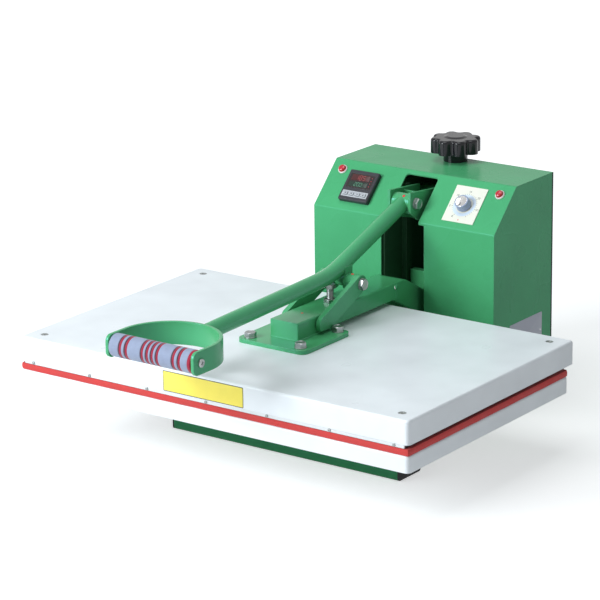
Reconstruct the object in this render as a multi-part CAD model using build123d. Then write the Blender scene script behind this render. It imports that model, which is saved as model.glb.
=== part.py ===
from build123d import *
import os
from math import atan2, cos, degrees, hypot, radians, sin, tan

# A clamshell dry mounting press, closed and locked. A lever with a toggle link presses a heated upper
# platen onto a padded bed; the platen's arm turns on a shaft inside the head at the back.
# Lengths are in millimetres. While it is built, x runs across, y runs back from the front edge of the
# upper cover and z runs up from the floor. Each node is moved along y as it is saved, so that the
# origin lies on the floor under the middle of the whole press.

# ---------------------------------------------------------------- driving sizes
fit = 0.05                  # radial clearance of a shaft or pin in its bore
seat_gap = 0.3              # gap between pieces that pass or press without being joined
hole_gap = 0.4              # radial clearance of a bolt in a plain hole

# base
foot_length = 366
rear_foot_length = 300
foot_depth = 50
foot_height = 40
foot_wall = 2.5
foot_edge = 3
foot_reach = 163            # front foot's front face, behind the cover's front edge
cap_plate = 3
cap_plug = 14
rail_width = 40
rail_spread = 200           # between the rails' centre lines
post_radius = 18
post_inset = 30             # rear posts, in from the bed's rear edge

# bed
bed_clearance = 45.5        # from the top of the feet to the tray's lower edge
bed_width = 620
bed_depth = 375
bed_height = 22.3
tray_wall = 1.5
core_thickness = 10
core_inset = 9
pad_thickness = 8.4
pad_inset = 0.3

# upper platen
cover_width = 620
cover_depth = 389
cover_height = 31.8
cover_wall = 1.5
cover_corner = 6
cover_edge = 3.5
cover_lift = 5              # the cover's lower edge stands this far above the platen's face
platen_thickness = 14
platen_inset = 3
platen_side_inset = 7
platen_back_inset = 14
element_radius = 4
element_runs = 5
element_pitch = 66
element_set = 138.5         # first run, ahead of the middle of the arm's bolts
element_reach = 255
blanket_thickness = 9
strip_height = 4.6
strip_thickness = 2
strip_screws = 7
strip_screw_pitch = 96
strip_head_radius = 2.1
strip_head_height = 0.9
corner_screw_x = 24         # cover screws, in from the cover's sides
corner_screw_y = 23

# lift arm
arm_width = 46
arm_height = 24
arm_wall = 4
arm_reach = 170             # the arm's front face, behind the cover's front edge
leg_height = 34             # the arm is deeper behind its knee
knee_reach = 405.6          # knee of the arm's middle line
knee_radius = 26
arm_edge = 2
arm_plate_width = 110
arm_plate_depth = 107
arm_plate_thickness = 5.5
arm_plate_front = 32        # the plate starts this far ahead of the arm
arm_plate_corner = 10
plate_bolt_x = 81
plate_bolt_y = 84
plate_bolt_front = 12.5     # first bolt row, in from the plate's front edge
plate_bolt_radius = 5
boss_radius = 20
boss_width = 60

# rear hinge
hinge_set = 78.6            # behind the head's front face
hinge_drop = 12             # below the platen's face
hinge_radius = 10
bush_wall = 3
bush_length = 22
bush_flange = 3
lug_reach = 24              # the arm's spring lug, ahead of the hinge
lug_depth = 10
lug_rise = 65.4             # lug's top, above the hinge
shaft_across = 30           # hexagons at the shaft's ends
shaft_head = 8
shaft_nut = 10
shaft_tail = 14

# links and pivots
link_spread = 50            # between the links' inner faces
link_thickness = 7
link_width = 24
link_length = 90.1
link_tilt = 22.9
link_foot_set = 48.5        # lower pivot, behind the arm's front face
link_foot_cut = 7           # the links' lower ends are cut flat this far below the pivot
pin_radius = 7
pivot_radius = 5
sleeve_radius = 12
waist_radius = 6.6          # the links' boss is turned down in the middle, past the stop bolt's head
waist_half = 9.5
saddle_half = 12            # half the width of the block between that boss and the tube
saddle_depth = 16
pivot_set = 5.6             # upper pivot, behind the head's front face
pivot_rise = 24.7           # upper pivot, above the head's lower bend
hex_across = 14
hex_height = 5
washer_radius = 8.2
washer_thickness = 1.5
low_head_radius = 7.5       # pivot bolts end in a low round head on the left
low_head_height = 2

# lever and handle
tube_radius = 11
tube_wall = 2.5
bend_set = 27.1             # the lever's bend, ahead of the links' upper pivot
bend_rise = 65              # above the cover's top
bend_radius = 150
handle_rise = 56.7          # grip's axis above the cover's top
handle_width = 139.5
handle_set = 74             # centre of the strap's round back, ahead of the cover
grip_set = 22               # grip's axis ahead of that centre
strap_nose = 14             # strap runs on this far past the grip's axis
strap_height = 30.5
strap_thickness = 5
strap_edge = 1
foam_radius = 15
core_radius = 6
grip_screw_radius = 3
grip_head_radius = 5.5
grip_head_height = 3.2

# stop bolt
stop_radius = 5
stop_across = 13
stop_head = 6

# head
head_width = 298
head_depth = 149.8
head_gap = 57.4             # from the cover's rear edge to the head's front face
head_height = 312.7
head_wall = 2
slope_run = 55.9
slope_rise = 55.9
bend_outer = 4
slot_width = 53
slot_run = 52.3             # how far the slot runs back into the slope
slot_corner = 5
mouth_width = 71            # the wider opening under the slope's bend
mouth_sill = 110
mouth_drop = 3.5            # the mouth's top, below the bend
skirt_gap = 0.5
flange_width = 12
panel_screw_inset = 30
panel_thickness = 2
vent_count = 8
vent_width = 60
vent_height = 4
vent_drop = 60              # first vent, below the casing's top
vent_clear = 25             # last vent, above the switch's opening
base_plate_thickness = 6
cheek_spread = 66           # between the cheeks' inner faces
cheek_thickness = 8
cheek_gap = 3               # between the cheeks and the casing's front and slope
guide_width = 7.7
guide_depth = 12
guide_set = 48.6            # guide bars, behind the head's front face
guide_bottom = 146
crosshead_thickness = 10
crosshead_gap = 2.7         # under the casing's top
crosshead_front = 36
crosshead_back = 13.5
tie_thickness = 6
tie_height = 150

# pressure screw and carriage
spindle_set = 133.8         # behind the head's front face
spindle_radius = 8
spindle_tail = 10           # spindle runs on below the carriage
collar_radius = 13
collar_height = 7
knob_radius = 25.9          # circle of the lobes' centres
lobe_radius = 9.6
lobe_count = 8
hollow_radius = 4
knob_height = 21
knob_edge = 4
hub_radius = 17
hub_height = 13
dome_height = 1.5
carriage_cheek = 4
carriage_inner = 14.7       # half the room between the cheeks
carriage_front = 13         # cheeks start this far ahead of the upper pivot
carriage_top = 17.2         # cheeks' front top corner, above the pivot
carriage_back_top = 10
carriage_chin = 10.9        # cheeks' front lower corner, below the pivot
carriage_heel = 24.9        # where the rounded chin meets the lower edge, below the pivot
carriage_heel_set = 6
web_set = 20
web_thickness = 4
nut_block_height = 40
nut_block_top = 0.5         # the nut block's top, above the upper pivot
nut_radius = 13
nut_flange = 15.2
nut_flange_height = 4

# panel parts, on the slope: x across, then distance up the slope from the lower bend
controller_x = -87.7
controller_up = 37.3
controller_size = 49
controller_face = 7
controller_body = 44
controller_length = 60
window_width = 41
window_height = 23
window_thickness = 1.6
window_up = 7
button_width = 7
button_height = 4.4
button_length = 5
button_proud = 1.2
button_travel = 0.6
button_pitch = 10
button_down = 14.5
timer_x = 85
timer_up = 38.5
timer_plate_width = 50
timer_plate_height = 57
timer_plate_thickness = 1.2
timer_body = 42
timer_body_length = 40
timer_shaft_radius = 3
timer_knob_radius = 11
timer_knob_height = 11
lamp_x = 130
lamp_up = 62.4
lamp_bezel_radius = 7
lamp_bezel_height = 2
lamp_body_radius = 6
lamp_body_length = 24
lamp_lens_radius = 5.4
lamp_lens_height = 4

# back panel parts
switch_x = -95
switch_up = 90              # above the base plate
switch_width = 22
switch_height = 30
switch_depth = 24
switch_rim = 3
switch_proud = 2
rocker_travel = 8
rocker_curve = 30
gland_x = 95
gland_up = 60
gland_bore = 5
gland_radius = 10
gland_proud = 16
gland_nut = 13

# relay on its heat sink, and the terminal block
sink_x = 95
sink_width = 70
sink_length = 90
sink_height = 25
sink_plate = 5
sink_fin = 3
sink_fins = 7
relay_width = 45
relay_length = 58
relay_height = 23
terminal_x = -90
terminal_width = 60
terminal_length = 24
terminal_height = 20
terminal_ways = 6

screw_radius = 1.5
screw_head = 2.8
screw_head_height = 1.8
screw_length = 9

# ---------------------------------------------------------------- sizes that follow
z_tray = foot_height + bed_clearance
z_bed = z_tray + bed_height
z_pad = z_bed + pad_thickness
z_platen = z_pad + seat_gap
z_cover_low = z_platen + cover_lift
z_cover = z_cover_low + cover_height
z_cover_inner = z_cover - cover_wall
z_platen_top = z_platen + platen_thickness
z_core = z_bed - tray_wall

y_head = cover_depth + head_gap
y_head_back = y_head + head_depth
z_bend = head_height - slope_rise
slope_angle = atan2(slope_rise, slope_run)

hinge_y = y_head + hinge_set
hinge_z = z_platen - hinge_drop
arm_bottom = z_cover + arm_plate_thickness
arm_mid = arm_bottom + arm_height / 2
arm_top = arm_bottom + arm_height
arm_tilt = atan2(arm_mid - hinge_z, hinge_y - knee_reach)

foot_pivot_y = arm_reach + link_foot_set
foot_pivot_z = arm_mid
head_pivot_y = foot_pivot_y + link_length * cos(radians(link_tilt))
head_pivot_z = foot_pivot_z + link_length * sin(radians(link_tilt))
bend_reach = head_pivot_y - bend_set
link_inner = link_spread / 2
link_outer = link_inner + link_thickness
lever_pivot_y = y_head + pivot_set
lever_pivot_z = z_bend + pivot_rise

bend_z = z_cover + bend_rise
handle_z = z_cover + handle_rise
strap_outer = handle_width / 2
strap_inner = strap_outer - strap_thickness
strap_back = strap_outer - handle_set
grip_y = -handle_set - grip_set

spindle_y = y_head + spindle_set
slot_half = slot_width / 2
cheek_inner = cheek_spread / 2
cheek_outer = cheek_inner + cheek_thickness
cheek_front = y_head + head_wall + cheek_gap
cheek_back = spindle_y + crosshead_back
z_plate = foot_height + base_plate_thickness
z_crosshead = head_height - head_wall - crosshead_gap - crosshead_thickness
z_skirt = foot_height + skirt_gap
casing_half = head_width / 2
casing_inner = casing_half - head_wall
carriage_outer = carriage_inner + carriage_cheek
z_block_top = lever_pivot_z + nut_block_top
z_block = z_block_top - nut_block_height

y_front = grip_y - foam_radius
y_rear = y_head_back + panel_thickness + gland_proud
y_origin = (y_front + y_rear) / 2


# ---------------------------------------------------------------- shape helpers
def block(x_low, x_high, y_low, y_high, z_low, z_high):
    centre = Pos((x_low + x_high) / 2, (y_low + y_high) / 2, (z_low + z_high) / 2)
    return centre * Box(x_high - x_low, y_high - y_low, z_high - z_low)


def rod_x(radius, x_low, x_high, y, z):
    return Pos((x_low + x_high) / 2, y, z) * Rot(0, 90, 0) * Cylinder(radius, x_high - x_low)


def rod_y(radius, x, y_low, y_high, z):
    return Pos(x, (y_low + y_high) / 2, z) * Rot(90, 0, 0) * Cylinder(radius, y_high - y_low)


def rod_z(radius, x, y, z_low, z_high):
    return Pos(x, y, (z_low + z_high) / 2) * Cylinder(radius, z_high - z_low)


def hexagon(across, height):
    # a hexagonal prism about z, standing on z = 0
    return extrude(RegularPolygon(across / 2, 6, major_radius=False), height)


def side_plate(points, x_low, x_high):
    # a plate across x whose outline is given in y and z
    corners = [(x_low, y, z) for y, z in points]
    outline = make_face(Polyline(*corners, close=True))
    return extrude(outline, x_high - x_low, dir=(1, 0, 0))


def rounded_block(x_low, x_high, y_low, y_high, z_low, z_high, corner):
    body = block(x_low, x_high, y_low, y_high, z_low, z_high)
    return fillet(body.edges().filter_by(Axis.Z), corner)


def pan(half_width, y_low, y_high, z_low, z_high, wall, corner, edge):
    # a sheet-metal pan, open underneath, with soft bends round its top
    body = rounded_block(-half_width, half_width, y_low, y_high, z_low, z_high, corner)
    body = fillet(body.faces().sort_by(Axis.Z)[-1].edges(), edge)
    inner = half_width - wall
    hollow = rounded_block(-inner, inner, y_low + wall, y_high - wall, z_low - 1, z_high - wall, corner - wall)
    return body - hollow


def group(*solids):
    # separate solids that share one node
    return Compound(children=list(solids))


def mirrored(shape):
    return mirror(shape, about=Plane.YZ)


def save(shape, name):
    export_step(Pos(0, -y_origin, 0) * shape, "parts/" + name + ".step")


os.makedirs("parts", exist_ok=True)

# ---------------------------------------------------------------- base
front_foot_half = foot_length / 2
rear_foot_half = rear_foot_length / 2
rail_x = rail_spread / 2
rear_foot_y = y_head_back - foot_depth - 8


def foot(half, y_low):
    tube = block(-half, half, y_low, y_low + foot_depth, 0, foot_height)
    tube = fillet(tube.edges().filter_by(Axis.X), foot_edge)
    bore = block(-half, half, y_low + foot_wall, y_low + foot_depth - foot_wall,
                 foot_wall, foot_height - foot_wall)
    return tube - bore


def end_cap(half, y_low):
    plate = block(half, half + cap_plate, y_low, y_low + foot_depth, 0, foot_height)
    plate = fillet(plate.edges().filter_by(Axis.X), foot_edge)
    plate = fillet(plate.faces().sort_by(Axis.X)[-1].edges(), 1)
    side = foot_wall + fit
    plug = block(half - cap_plug, half, y_low + side, y_low + foot_depth - side,
                 side, foot_height - side)
    return plate + plug


def rail(x):
    half = rail_width / 2
    y_low = foot_reach + foot_depth
    tube = block(x - half, x + half, y_low, rear_foot_y, 0, foot_height)
    bore = block(x - half + foot_wall, x + half - foot_wall, y_low, rear_foot_y,
                 foot_wall, foot_height - foot_wall)
    return tube - bore


caps = [end_cap(front_foot_half, foot_reach), end_cap(rear_foot_half, rear_foot_y)]
save(foot(front_foot_half, foot_reach), "front_foot")
save(foot(rear_foot_half, rear_foot_y), "rear_foot")
save(group(*caps, *[mirrored(cap) for cap in caps]), "foot_end_caps")
save(group(rail(-rail_x), rail(rail_x)), "base_rails")

# ---------------------------------------------------------------- bed
bed_half = bed_width / 2
core_half = bed_half - core_inset
core_bottom = z_core - core_thickness
post_ys = [foot_reach + foot_depth / 2, bed_depth - post_inset]
posts = [rod_z(post_radius, x, y, foot_height, core_bottom) for x in (-rail_x, rail_x) for y in post_ys]
save(group(*posts), "bed_posts")
save(block(-core_half, core_half, core_inset, bed_depth - core_inset, core_bottom, z_core), "bed_core_plate")
save(pan(bed_half, 0, bed_depth, z_tray, z_bed, tray_wall, cover_corner, cover_edge), "bed_tray")
pad_half = bed_half - pad_inset
save(rounded_block(-pad_half, pad_half, pad_inset, bed_depth - 2 * pad_inset, z_bed, z_pad, cover_corner),
     "silicone_pad")

# ---------------------------------------------------------------- upper platen
cover_half = cover_width / 2
platen_half = cover_half - platen_side_inset
platen_back = cover_depth - platen_back_inset
plate_y = arm_reach - arm_plate_front
bolt_ys = [plate_y + plate_bolt_front, plate_y + plate_bolt_front + plate_bolt_y]
bolt_spots = [(x, y) for x in (-plate_bolt_x / 2, plate_bolt_x / 2) for y in bolt_ys]
corner_x = cover_half - corner_screw_x
corner_spots = [(x, y) for x in (-corner_x, corner_x) for y in (corner_screw_y, cover_depth - corner_screw_y)]
strip_xs = [(i - (strip_screws - 1) / 2) * strip_screw_pitch for i in range(strip_screws)]
screw_hole = screw_radius + hole_gap

platen = block(-platen_half, platen_half, platen_inset, platen_back, z_platen, z_platen_top)
strip_z = z_platen + strip_height / 2 + seat_gap
for x in strip_xs:
    platen -= rod_y(screw_radius + fit, x, platen_inset - 1, platen_inset + screw_length, strip_z)
save(platen, "heater_platen")

strip = block(-platen_half, platen_half, platen_inset - strip_thickness, platen_inset,
              z_platen + seat_gap, z_platen + seat_gap + strip_height)
for x in strip_xs:
    strip -= rod_y(screw_hole, x, 0, platen_inset + 1, strip_z)
save(strip, "front_edge_strip")

strip_face = platen_inset - strip_thickness
platen_screws = []
for x in strip_xs:
    shank = rod_y(screw_radius, x, strip_face, platen_inset + screw_length - 1, strip_z)
    head = rod_y(strip_head_radius, x, strip_face - strip_head_height, strip_face, strip_z)
    platen_screws.append(shank + head)

stand_radius = plate_bolt_radius + 5
standoffs = []
for x, y in bolt_spots:
    post = rod_z(stand_radius, x, y, z_platen_top, z_cover_inner)
    standoffs.append(post - rod_z(plate_bolt_radius + fit, x, y, z_platen_top, z_cover_inner))
corner_stand = 8
corner_screw_radius = 2.5
for x, y in corner_spots:
    post = rod_z(corner_stand, x, y, z_platen_top, z_cover_inner)
    standoffs.append(post - rod_z(corner_screw_radius + fit, x, y, z_platen_top + 4, z_cover_inner))
save(group(*standoffs), "platen_standoffs")

element_z = z_platen_top + element_radius
element_first = (bolt_ys[0] + bolt_ys[1]) / 2 - element_set
run_ys = [element_first + i * element_pitch for i in range(element_runs)]
element_points = []
for i, y in enumerate(run_ys):
    ends = [(-element_reach, y, element_z), (element_reach, y, element_z)]
    element_points += ends if i % 2 == 0 else ends[::-1]
element_path = FilletPolyline(*element_points, radius=element_pitch / 2 - 1)
element_section = Plane(element_points[0], z_dir=(1, 0, 0)) * Circle(element_radius)
save(sweep(element_section, path=element_path), "heating_element")

blanket_low = z_cover_inner - blanket_thickness
blanket = block(-platen_half + 4, platen_half - 4, platen_inset + 4, platen_back - 4,
                blanket_low, z_cover_inner - seat_gap)
for x, y in bolt_spots:
    blanket -= rod_z(stand_radius + 1, x, y, blanket_low - 1, z_cover)
for x, y in corner_spots:
    blanket -= rod_z(corner_stand + 1, x, y, blanket_low - 1, z_cover)
save(blanket, "insulation_blanket")

cover = pan(cover_half, 0, cover_depth, z_cover_low, z_cover, cover_wall, cover_corner, cover_edge)
for x, y in bolt_spots:
    cover -= rod_z(plate_bolt_radius + hole_gap, x, y, z_cover - 5, z_cover + 1)
csk_radius = 2 * corner_screw_radius
for x, y in corner_spots:
    cover -= rod_z(corner_screw_radius + hole_gap, x, y, z_cover - 5, z_cover + 1)
    cover -= rod_z(csk_radius + hole_gap, x, y, z_cover - cover_wall / 2, z_cover + 1)
    shank = rod_z(corner_screw_radius, x, y, z_platen_top + 6, z_cover - cover_wall / 2)
    head = rod_z(csk_radius, x, y, z_cover - cover_wall / 2, z_cover)
    socket = Pos(x, y, z_cover - 0.5) * hexagon(3, 1)
    platen_screws.append(shank + head - socket)
save(cover, "platen_cover")
save(group(*platen_screws), "platen_screws")

# ---------------------------------------------------------------- lift arm
arm_half = arm_width / 2


def arm_bar(wall, y_low, trim, edge):
    # the arm as a solid bar that lies one wall inside its outside: level over the cover, then down
    # along a straight, deeper leg to the hinge, with its knee rounded and its long edges softened
    half = arm_height / 2 - wall
    leg_half = leg_height / 2 - wall
    knee = (leg_half / cos(arm_tilt) - half) / tan(arm_tilt)
    end_y = hinge_y - trim * cos(arm_tilt)
    end_z = hinge_z + trim * sin(arm_tilt)
    outline = [
        (y_low, arm_mid - half),
        (knee_reach - knee, arm_mid - half),
        (end_y - leg_half * sin(arm_tilt), end_z - leg_half * cos(arm_tilt)),
        (end_y + leg_half * sin(arm_tilt), end_z + leg_half * cos(arm_tilt)),
        (knee_reach + knee, arm_mid + half),
        (y_low, arm_mid + half),
    ]
    bar = side_plate(outline, wall - arm_half, arm_half - wall)
    across = bar.edges().filter_by(Axis.X)
    top_knee = across.sort_by_distance((0, knee_reach + knee, arm_mid + half))[0]
    bar = fillet(top_knee, knee_radius - wall)
    low_knee = bar.edges().filter_by(Axis.X).sort_by_distance((0, knee_reach - knee, arm_mid - half))[0]
    bar = fillet(low_knee, knee_radius + wall)
    if edge > 0:
        sides = bar.faces().filter_by(Axis.X)
        bar = fillet([e for side in sides for e in side.edges()], edge)
    return bar


arm = arm_bar(0, arm_reach, 0, arm_edge)
arm += rod_x(boss_radius, -boss_width / 2, boss_width / 2, hinge_y, hinge_z)
arm_room = arm_bar(arm_wall, arm_reach + arm_wall, boss_radius + arm_wall, 0)
arm -= arm_room
arm += rod_x(pin_radius + 3.5, -arm_half, arm_half, foot_pivot_y, foot_pivot_z)
arm_plate = rounded_block(-arm_plate_width / 2, arm_plate_width / 2, plate_y, plate_y + arm_plate_depth,
                          z_cover, arm_bottom, arm_plate_corner)
for x, y in bolt_spots:
    arm_plate -= rod_z(plate_bolt_radius + hole_gap, x, y, z_cover - 1, arm_bottom + 1)
arm += arm_plate
lug_y = hinge_y - lug_reach
lug_foot = hinge_z + (lug_reach - lug_depth) * tan(arm_tilt) + (leg_height - arm_wall) / 2 / cos(arm_tilt)
arm += block(-arm_half, arm_half, lug_y, lug_y + lug_depth, lug_foot, hinge_z + lug_rise)
arm -= rod_x(pin_radius + fit, -arm_half - 1, arm_half + 1, foot_pivot_y, foot_pivot_z)
arm -= rod_x(hinge_radius + bush_wall + fit, -boss_width, boss_width, hinge_y, hinge_z)
arm -= rod_z(stop_radius + fit, 0, bend_reach, arm_top - arm_wall - 1, arm_top + 1)
save(arm, "lift_arm")

hinge_bush = rod_x(hinge_radius + bush_wall, boss_width / 2 - bush_length, boss_width / 2, hinge_y, hinge_z)
flange_end = boss_width / 2 + min(bush_flange, cheek_inner - boss_width / 2 - seat_gap)
hinge_bush += rod_x(boss_radius - 3, boss_width / 2, flange_end, hinge_y, hinge_z)
hinge_bush -= rod_x(hinge_radius + fit, 0, cheek_inner, hinge_y, hinge_z)
save(group(hinge_bush, mirrored(hinge_bush)), "hinge_bushes")

plate_bolts = []
for x, y in bolt_spots:
    washer_top = arm_bottom + washer_thickness
    washer = rod_z(washer_radius, x, y, arm_bottom, washer_top)
    washer -= rod_z(plate_bolt_radius + fit, x, y, arm_bottom, washer_top)
    head = Pos(x, y, washer_top) * hexagon(hex_across, hex_height + 1)
    shank = rod_z(plate_bolt_radius, x, y, z_platen_top + 2, washer_top)
    plate_bolts += [washer, head + shank]
save(group(*plate_bolts), "arm_plate_bolts")

# the stop bolt's head ends just under the lever tube, where the tube's underside follows its bend
lever_rise = atan2(lever_pivot_z - bend_z, lever_pivot_y - bend_reach)
handle_fall = atan2(bend_z - handle_z, bend_reach - strap_back)
half_turn = (lever_rise - handle_fall) / 2
lean = (lever_rise + handle_fall) / 2
bend_centre_y = bend_reach - bend_radius / cos(half_turn) * sin(lean)
bend_centre_z = bend_z + bend_radius / cos(half_turn) * cos(lean)
stop_half = stop_across / 2
lowest_y = bend_reach - stop_half - bend_centre_y
tube_under = bend_centre_z - ((bend_radius + tube_radius) ** 2 - lowest_y ** 2) ** 0.5
stop_top = tube_under - seat_gap
stop_bolt = Pos(0, bend_reach, stop_top - stop_head) * hexagon(stop_across, stop_head)
stop_bolt += rod_z(stop_radius, 0, bend_reach, arm_top - arm_wall - 4, stop_top - stop_head)
stop_nut = Pos(0, bend_reach, arm_top) * hexagon(hex_across + 2, hex_height)
stop_nut -= rod_z(stop_radius + fit, 0, bend_reach, arm_top - 1, arm_top + hex_height + 1)
save(group(stop_bolt, stop_nut), "stop_bolt")

# ---------------------------------------------------------------- links
half_link = link_width / 2


def link_bar(x_low, x_high):
    along = Pos(0, (foot_pivot_y + head_pivot_y) / 2, (foot_pivot_z + head_pivot_z) / 2)
    bar = block(x_low, x_high, -link_length / 2, link_length / 2, -half_link, half_link)
    bar = along * Rot(link_tilt, 0, 0) * bar
    bar += rod_x(half_link, x_low, x_high, foot_pivot_y, foot_pivot_z)
    bar += rod_x(half_link, x_low, x_high, head_pivot_y, head_pivot_z)
    bar -= block(x_low - 1, x_high + 1, foot_pivot_y - link_width, foot_pivot_y + link_width,
                 foot_pivot_z - link_width, foot_pivot_z - link_foot_cut)
    bar -= rod_x(pin_radius + fit, x_low - 1, x_high + 1, foot_pivot_y, foot_pivot_z)
    return bar - rod_x(pivot_radius + fit, x_low - 1, x_high + 1, head_pivot_y, head_pivot_z)


save(link_bar(-link_outer, -link_inner), "link_left")
save(link_bar(link_inner, link_outer), "link_right")
save(rod_x(pin_radius, -link_outer, link_outer, foot_pivot_y, foot_pivot_z), "link_lower_pin")

stub = rod_x(pivot_radius, link_inner, link_outer + washer_thickness, head_pivot_y, head_pivot_z)
stub_head = Pos(link_outer + washer_thickness, head_pivot_y, head_pivot_z) * Rot(0, 90, 0)
stub += stub_head * hexagon(hex_across, hex_height)
stub_washer = rod_x(washer_radius, link_outer, link_outer + washer_thickness, head_pivot_y, head_pivot_z)
stub_washer -= rod_x(pivot_radius + fit, link_outer, link_outer + washer_thickness, head_pivot_y, head_pivot_z)
left_stub = rod_x(pivot_radius, -link_outer, -link_inner, head_pivot_y, head_pivot_z)
left_stub += rod_x(low_head_radius, -link_outer - low_head_height, -link_outer, head_pivot_y, head_pivot_z)
save(group(stub, stub_washer, left_stub), "link_upper_bolts")

# ---------------------------------------------------------------- lever and handle
lever_path = FilletPolyline(
    (0, strap_back - strap_thickness, handle_z), (0, bend_reach, bend_z), (0, lever_pivot_y, lever_pivot_z),
    radius=bend_radius)
lever_start = Plane((0, strap_back - strap_thickness, handle_z), z_dir=lever_path % 0)
lever_tube = sweep(lever_start * Circle(tube_radius), path=lever_path)
tube_bore = sweep(lever_start * Circle(tube_radius - tube_wall), path=lever_path)
pivot_sleeve_half = carriage_inner - seat_gap
link_sleeve_half = link_inner - seat_gap
for x in (waist_half, -link_sleeve_half):
    lever_tube += rod_x(sleeve_radius, x, x + link_sleeve_half - waist_half, head_pivot_y, head_pivot_z)
lever_tube += rod_x(waist_radius, -waist_half, waist_half, head_pivot_y, head_pivot_z)
saddle_top = lever_pivot_z - (lever_pivot_y - head_pivot_y) * tan(lever_rise)
lever_tube += block(-saddle_half, saddle_half, head_pivot_y - saddle_depth / 2, head_pivot_y + saddle_depth / 2,
                    head_pivot_z, saddle_top)
lever_tube -= tube_bore
lever_tube += rod_x(sleeve_radius, -pivot_sleeve_half, pivot_sleeve_half, lever_pivot_y, lever_pivot_z)
lever_tube -= rod_x(pivot_radius + fit, -pivot_sleeve_half, pivot_sleeve_half, lever_pivot_y, lever_pivot_z)
lever_tube -= rod_x(pivot_radius + fit, -link_sleeve_half, link_sleeve_half, head_pivot_y, head_pivot_z)
strap_low = handle_z - strap_height / 2
strap_high = handle_z + strap_height / 2


def strap_fill(half, z_low, z_high):
    # the D filled in: a round back and two straight legs
    back = rod_z(half, 0, -handle_set, z_low, z_high)
    back -= block(-half - 1, half + 1, -handle_set - half - 1, -handle_set, z_low - 1, z_high + 1)
    return back + block(-half, half, grip_y - strap_nose, -handle_set, z_low, z_high)


lever_tube -= strap_fill(strap_outer, strap_low - 1, strap_high + 1)
save(lever_tube, "lever_tube")

strap = strap_fill(strap_outer, strap_low, strap_high)
strap -= strap_fill(strap_inner, strap_low - 1, strap_high + 1)
strap -= block(-strap_inner, strap_inner, grip_y - strap_nose - 1, -handle_set, strap_low - 1, strap_high + 1)
strap -= rod_x(grip_screw_radius + hole_gap, -strap_outer - 1, strap_outer + 1, grip_y, handle_z)
nose_edges = strap.edges().filter_by(Axis.X).group_by(Axis.Y)[0]
strap = fillet(nose_edges, 9)
strap = fillet(strap.edges().filter_by(GeomType.LINE).filter_by(Axis.Y), strap_edge)
save(strap, "handle_strap")

grip_core = rod_x(core_radius, -strap_inner, strap_inner, grip_y, handle_z)
grip_core -= rod_x(grip_screw_radius + fit, strap_inner - 20, strap_inner, grip_y, handle_z)
grip_core -= rod_x(grip_screw_radius + fit, -strap_inner, -strap_inner + 20, grip_y, handle_z)
save(grip_core, "grip_core")
foam = rod_x(foam_radius, -strap_inner + seat_gap, strap_inner - seat_gap, grip_y, handle_z)
save(foam - rod_x(core_radius + fit, -strap_outer, strap_outer, grip_y, handle_z), "foam_grip")
grip_screw = rod_x(grip_screw_radius, strap_inner - 15, strap_outer, grip_y, handle_z)
grip_head = rod_x(grip_head_radius, strap_outer, strap_outer + grip_head_height, grip_y, handle_z)
grip_head = fillet(grip_head.edges().sort_by(Axis.X)[-1], 1.8)
grip_socket = Pos(strap_outer + grip_head_height - 1.6, grip_y, handle_z) * Rot(0, 90, 0) * hexagon(4, 2)
grip_screw += grip_head - grip_socket
save(group(grip_screw, mirrored(grip_screw)), "grip_screws")

# ---------------------------------------------------------------- head frame
plate_half = casing_inner - seat_gap
head_plate = block(-plate_half, plate_half, y_head + head_wall + seat_gap, y_head_back - head_wall - seat_gap,
                   foot_height, z_plate)
side_screw_ys = [y_head + 25, (y_head + y_head_back) / 2, y_head_back - 25]
side_screw_z = foot_height + base_plate_thickness / 2
for y in side_screw_ys:
    head_plate -= rod_x(screw_radius + fit, plate_half - screw_length, plate_half + 1, y, side_screw_z)
    head_plate -= rod_x(screw_radius + fit, -plate_half - 1, -plate_half + screw_length, y, side_screw_z)
save(head_plate, "head_base_plate")

slope_drop = (head_wall + cheek_gap) / cos(slope_angle)
cheek_bend = z_bend + (cheek_front - y_head) * tan(slope_angle) - slope_drop
cheek_top_y = y_head + (z_crosshead - z_bend + slope_drop) / tan(slope_angle)
cheek_outline = [
    (cheek_front, z_plate), (cheek_front, cheek_bend), (cheek_top_y, z_crosshead),
    (cheek_back, z_crosshead), (cheek_back, z_plate),
]
guide_y = y_head + guide_set
frame_cheek = side_plate(cheek_outline, cheek_inner, cheek_outer)
frame_cheek += block(cheek_inner - guide_width, cheek_inner, guide_y, guide_y + guide_depth,
                     guide_bottom, z_crosshead - 4)
frame_cheek -= rod_x(hinge_radius + fit, cheek_inner - 1, cheek_outer + 1, hinge_y, hinge_z)
save(frame_cheek, "frame_cheek_right")
save(mirrored(frame_cheek), "frame_cheek_left")

crosshead = block(-cheek_outer, cheek_outer, spindle_y - crosshead_front, cheek_back,
                  z_crosshead, z_crosshead + crosshead_thickness)
crosshead -= rod_z(spindle_radius + fit, 0, spindle_y, z_crosshead - 1, head_height)
save(crosshead, "crosshead_plate")
tie_plate = block(-cheek_inner, cheek_inner, cheek_back - tie_thickness, cheek_back, z_plate, z_plate + tie_height)
save(tie_plate, "frame_tie_plate")

shaft_end = cheek_outer + shaft_tail
hinge_shaft = rod_x(hinge_radius, -cheek_outer, shaft_end, hinge_y, hinge_z)
shaft_seat = Pos(-cheek_outer - shaft_head, hinge_y, hinge_z) * Rot(0, 90, 0)
hinge_shaft += shaft_seat * hexagon(shaft_across, shaft_head)
hinge_nut = Pos(cheek_outer, hinge_y, hinge_z) * Rot(0, 90, 0) * hexagon(shaft_across, shaft_nut)
hinge_nut -= rod_x(hinge_radius + fit, cheek_outer - 1, shaft_end, hinge_y, hinge_z)
save(group(hinge_shaft, hinge_nut), "hinge_shaft")

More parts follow.
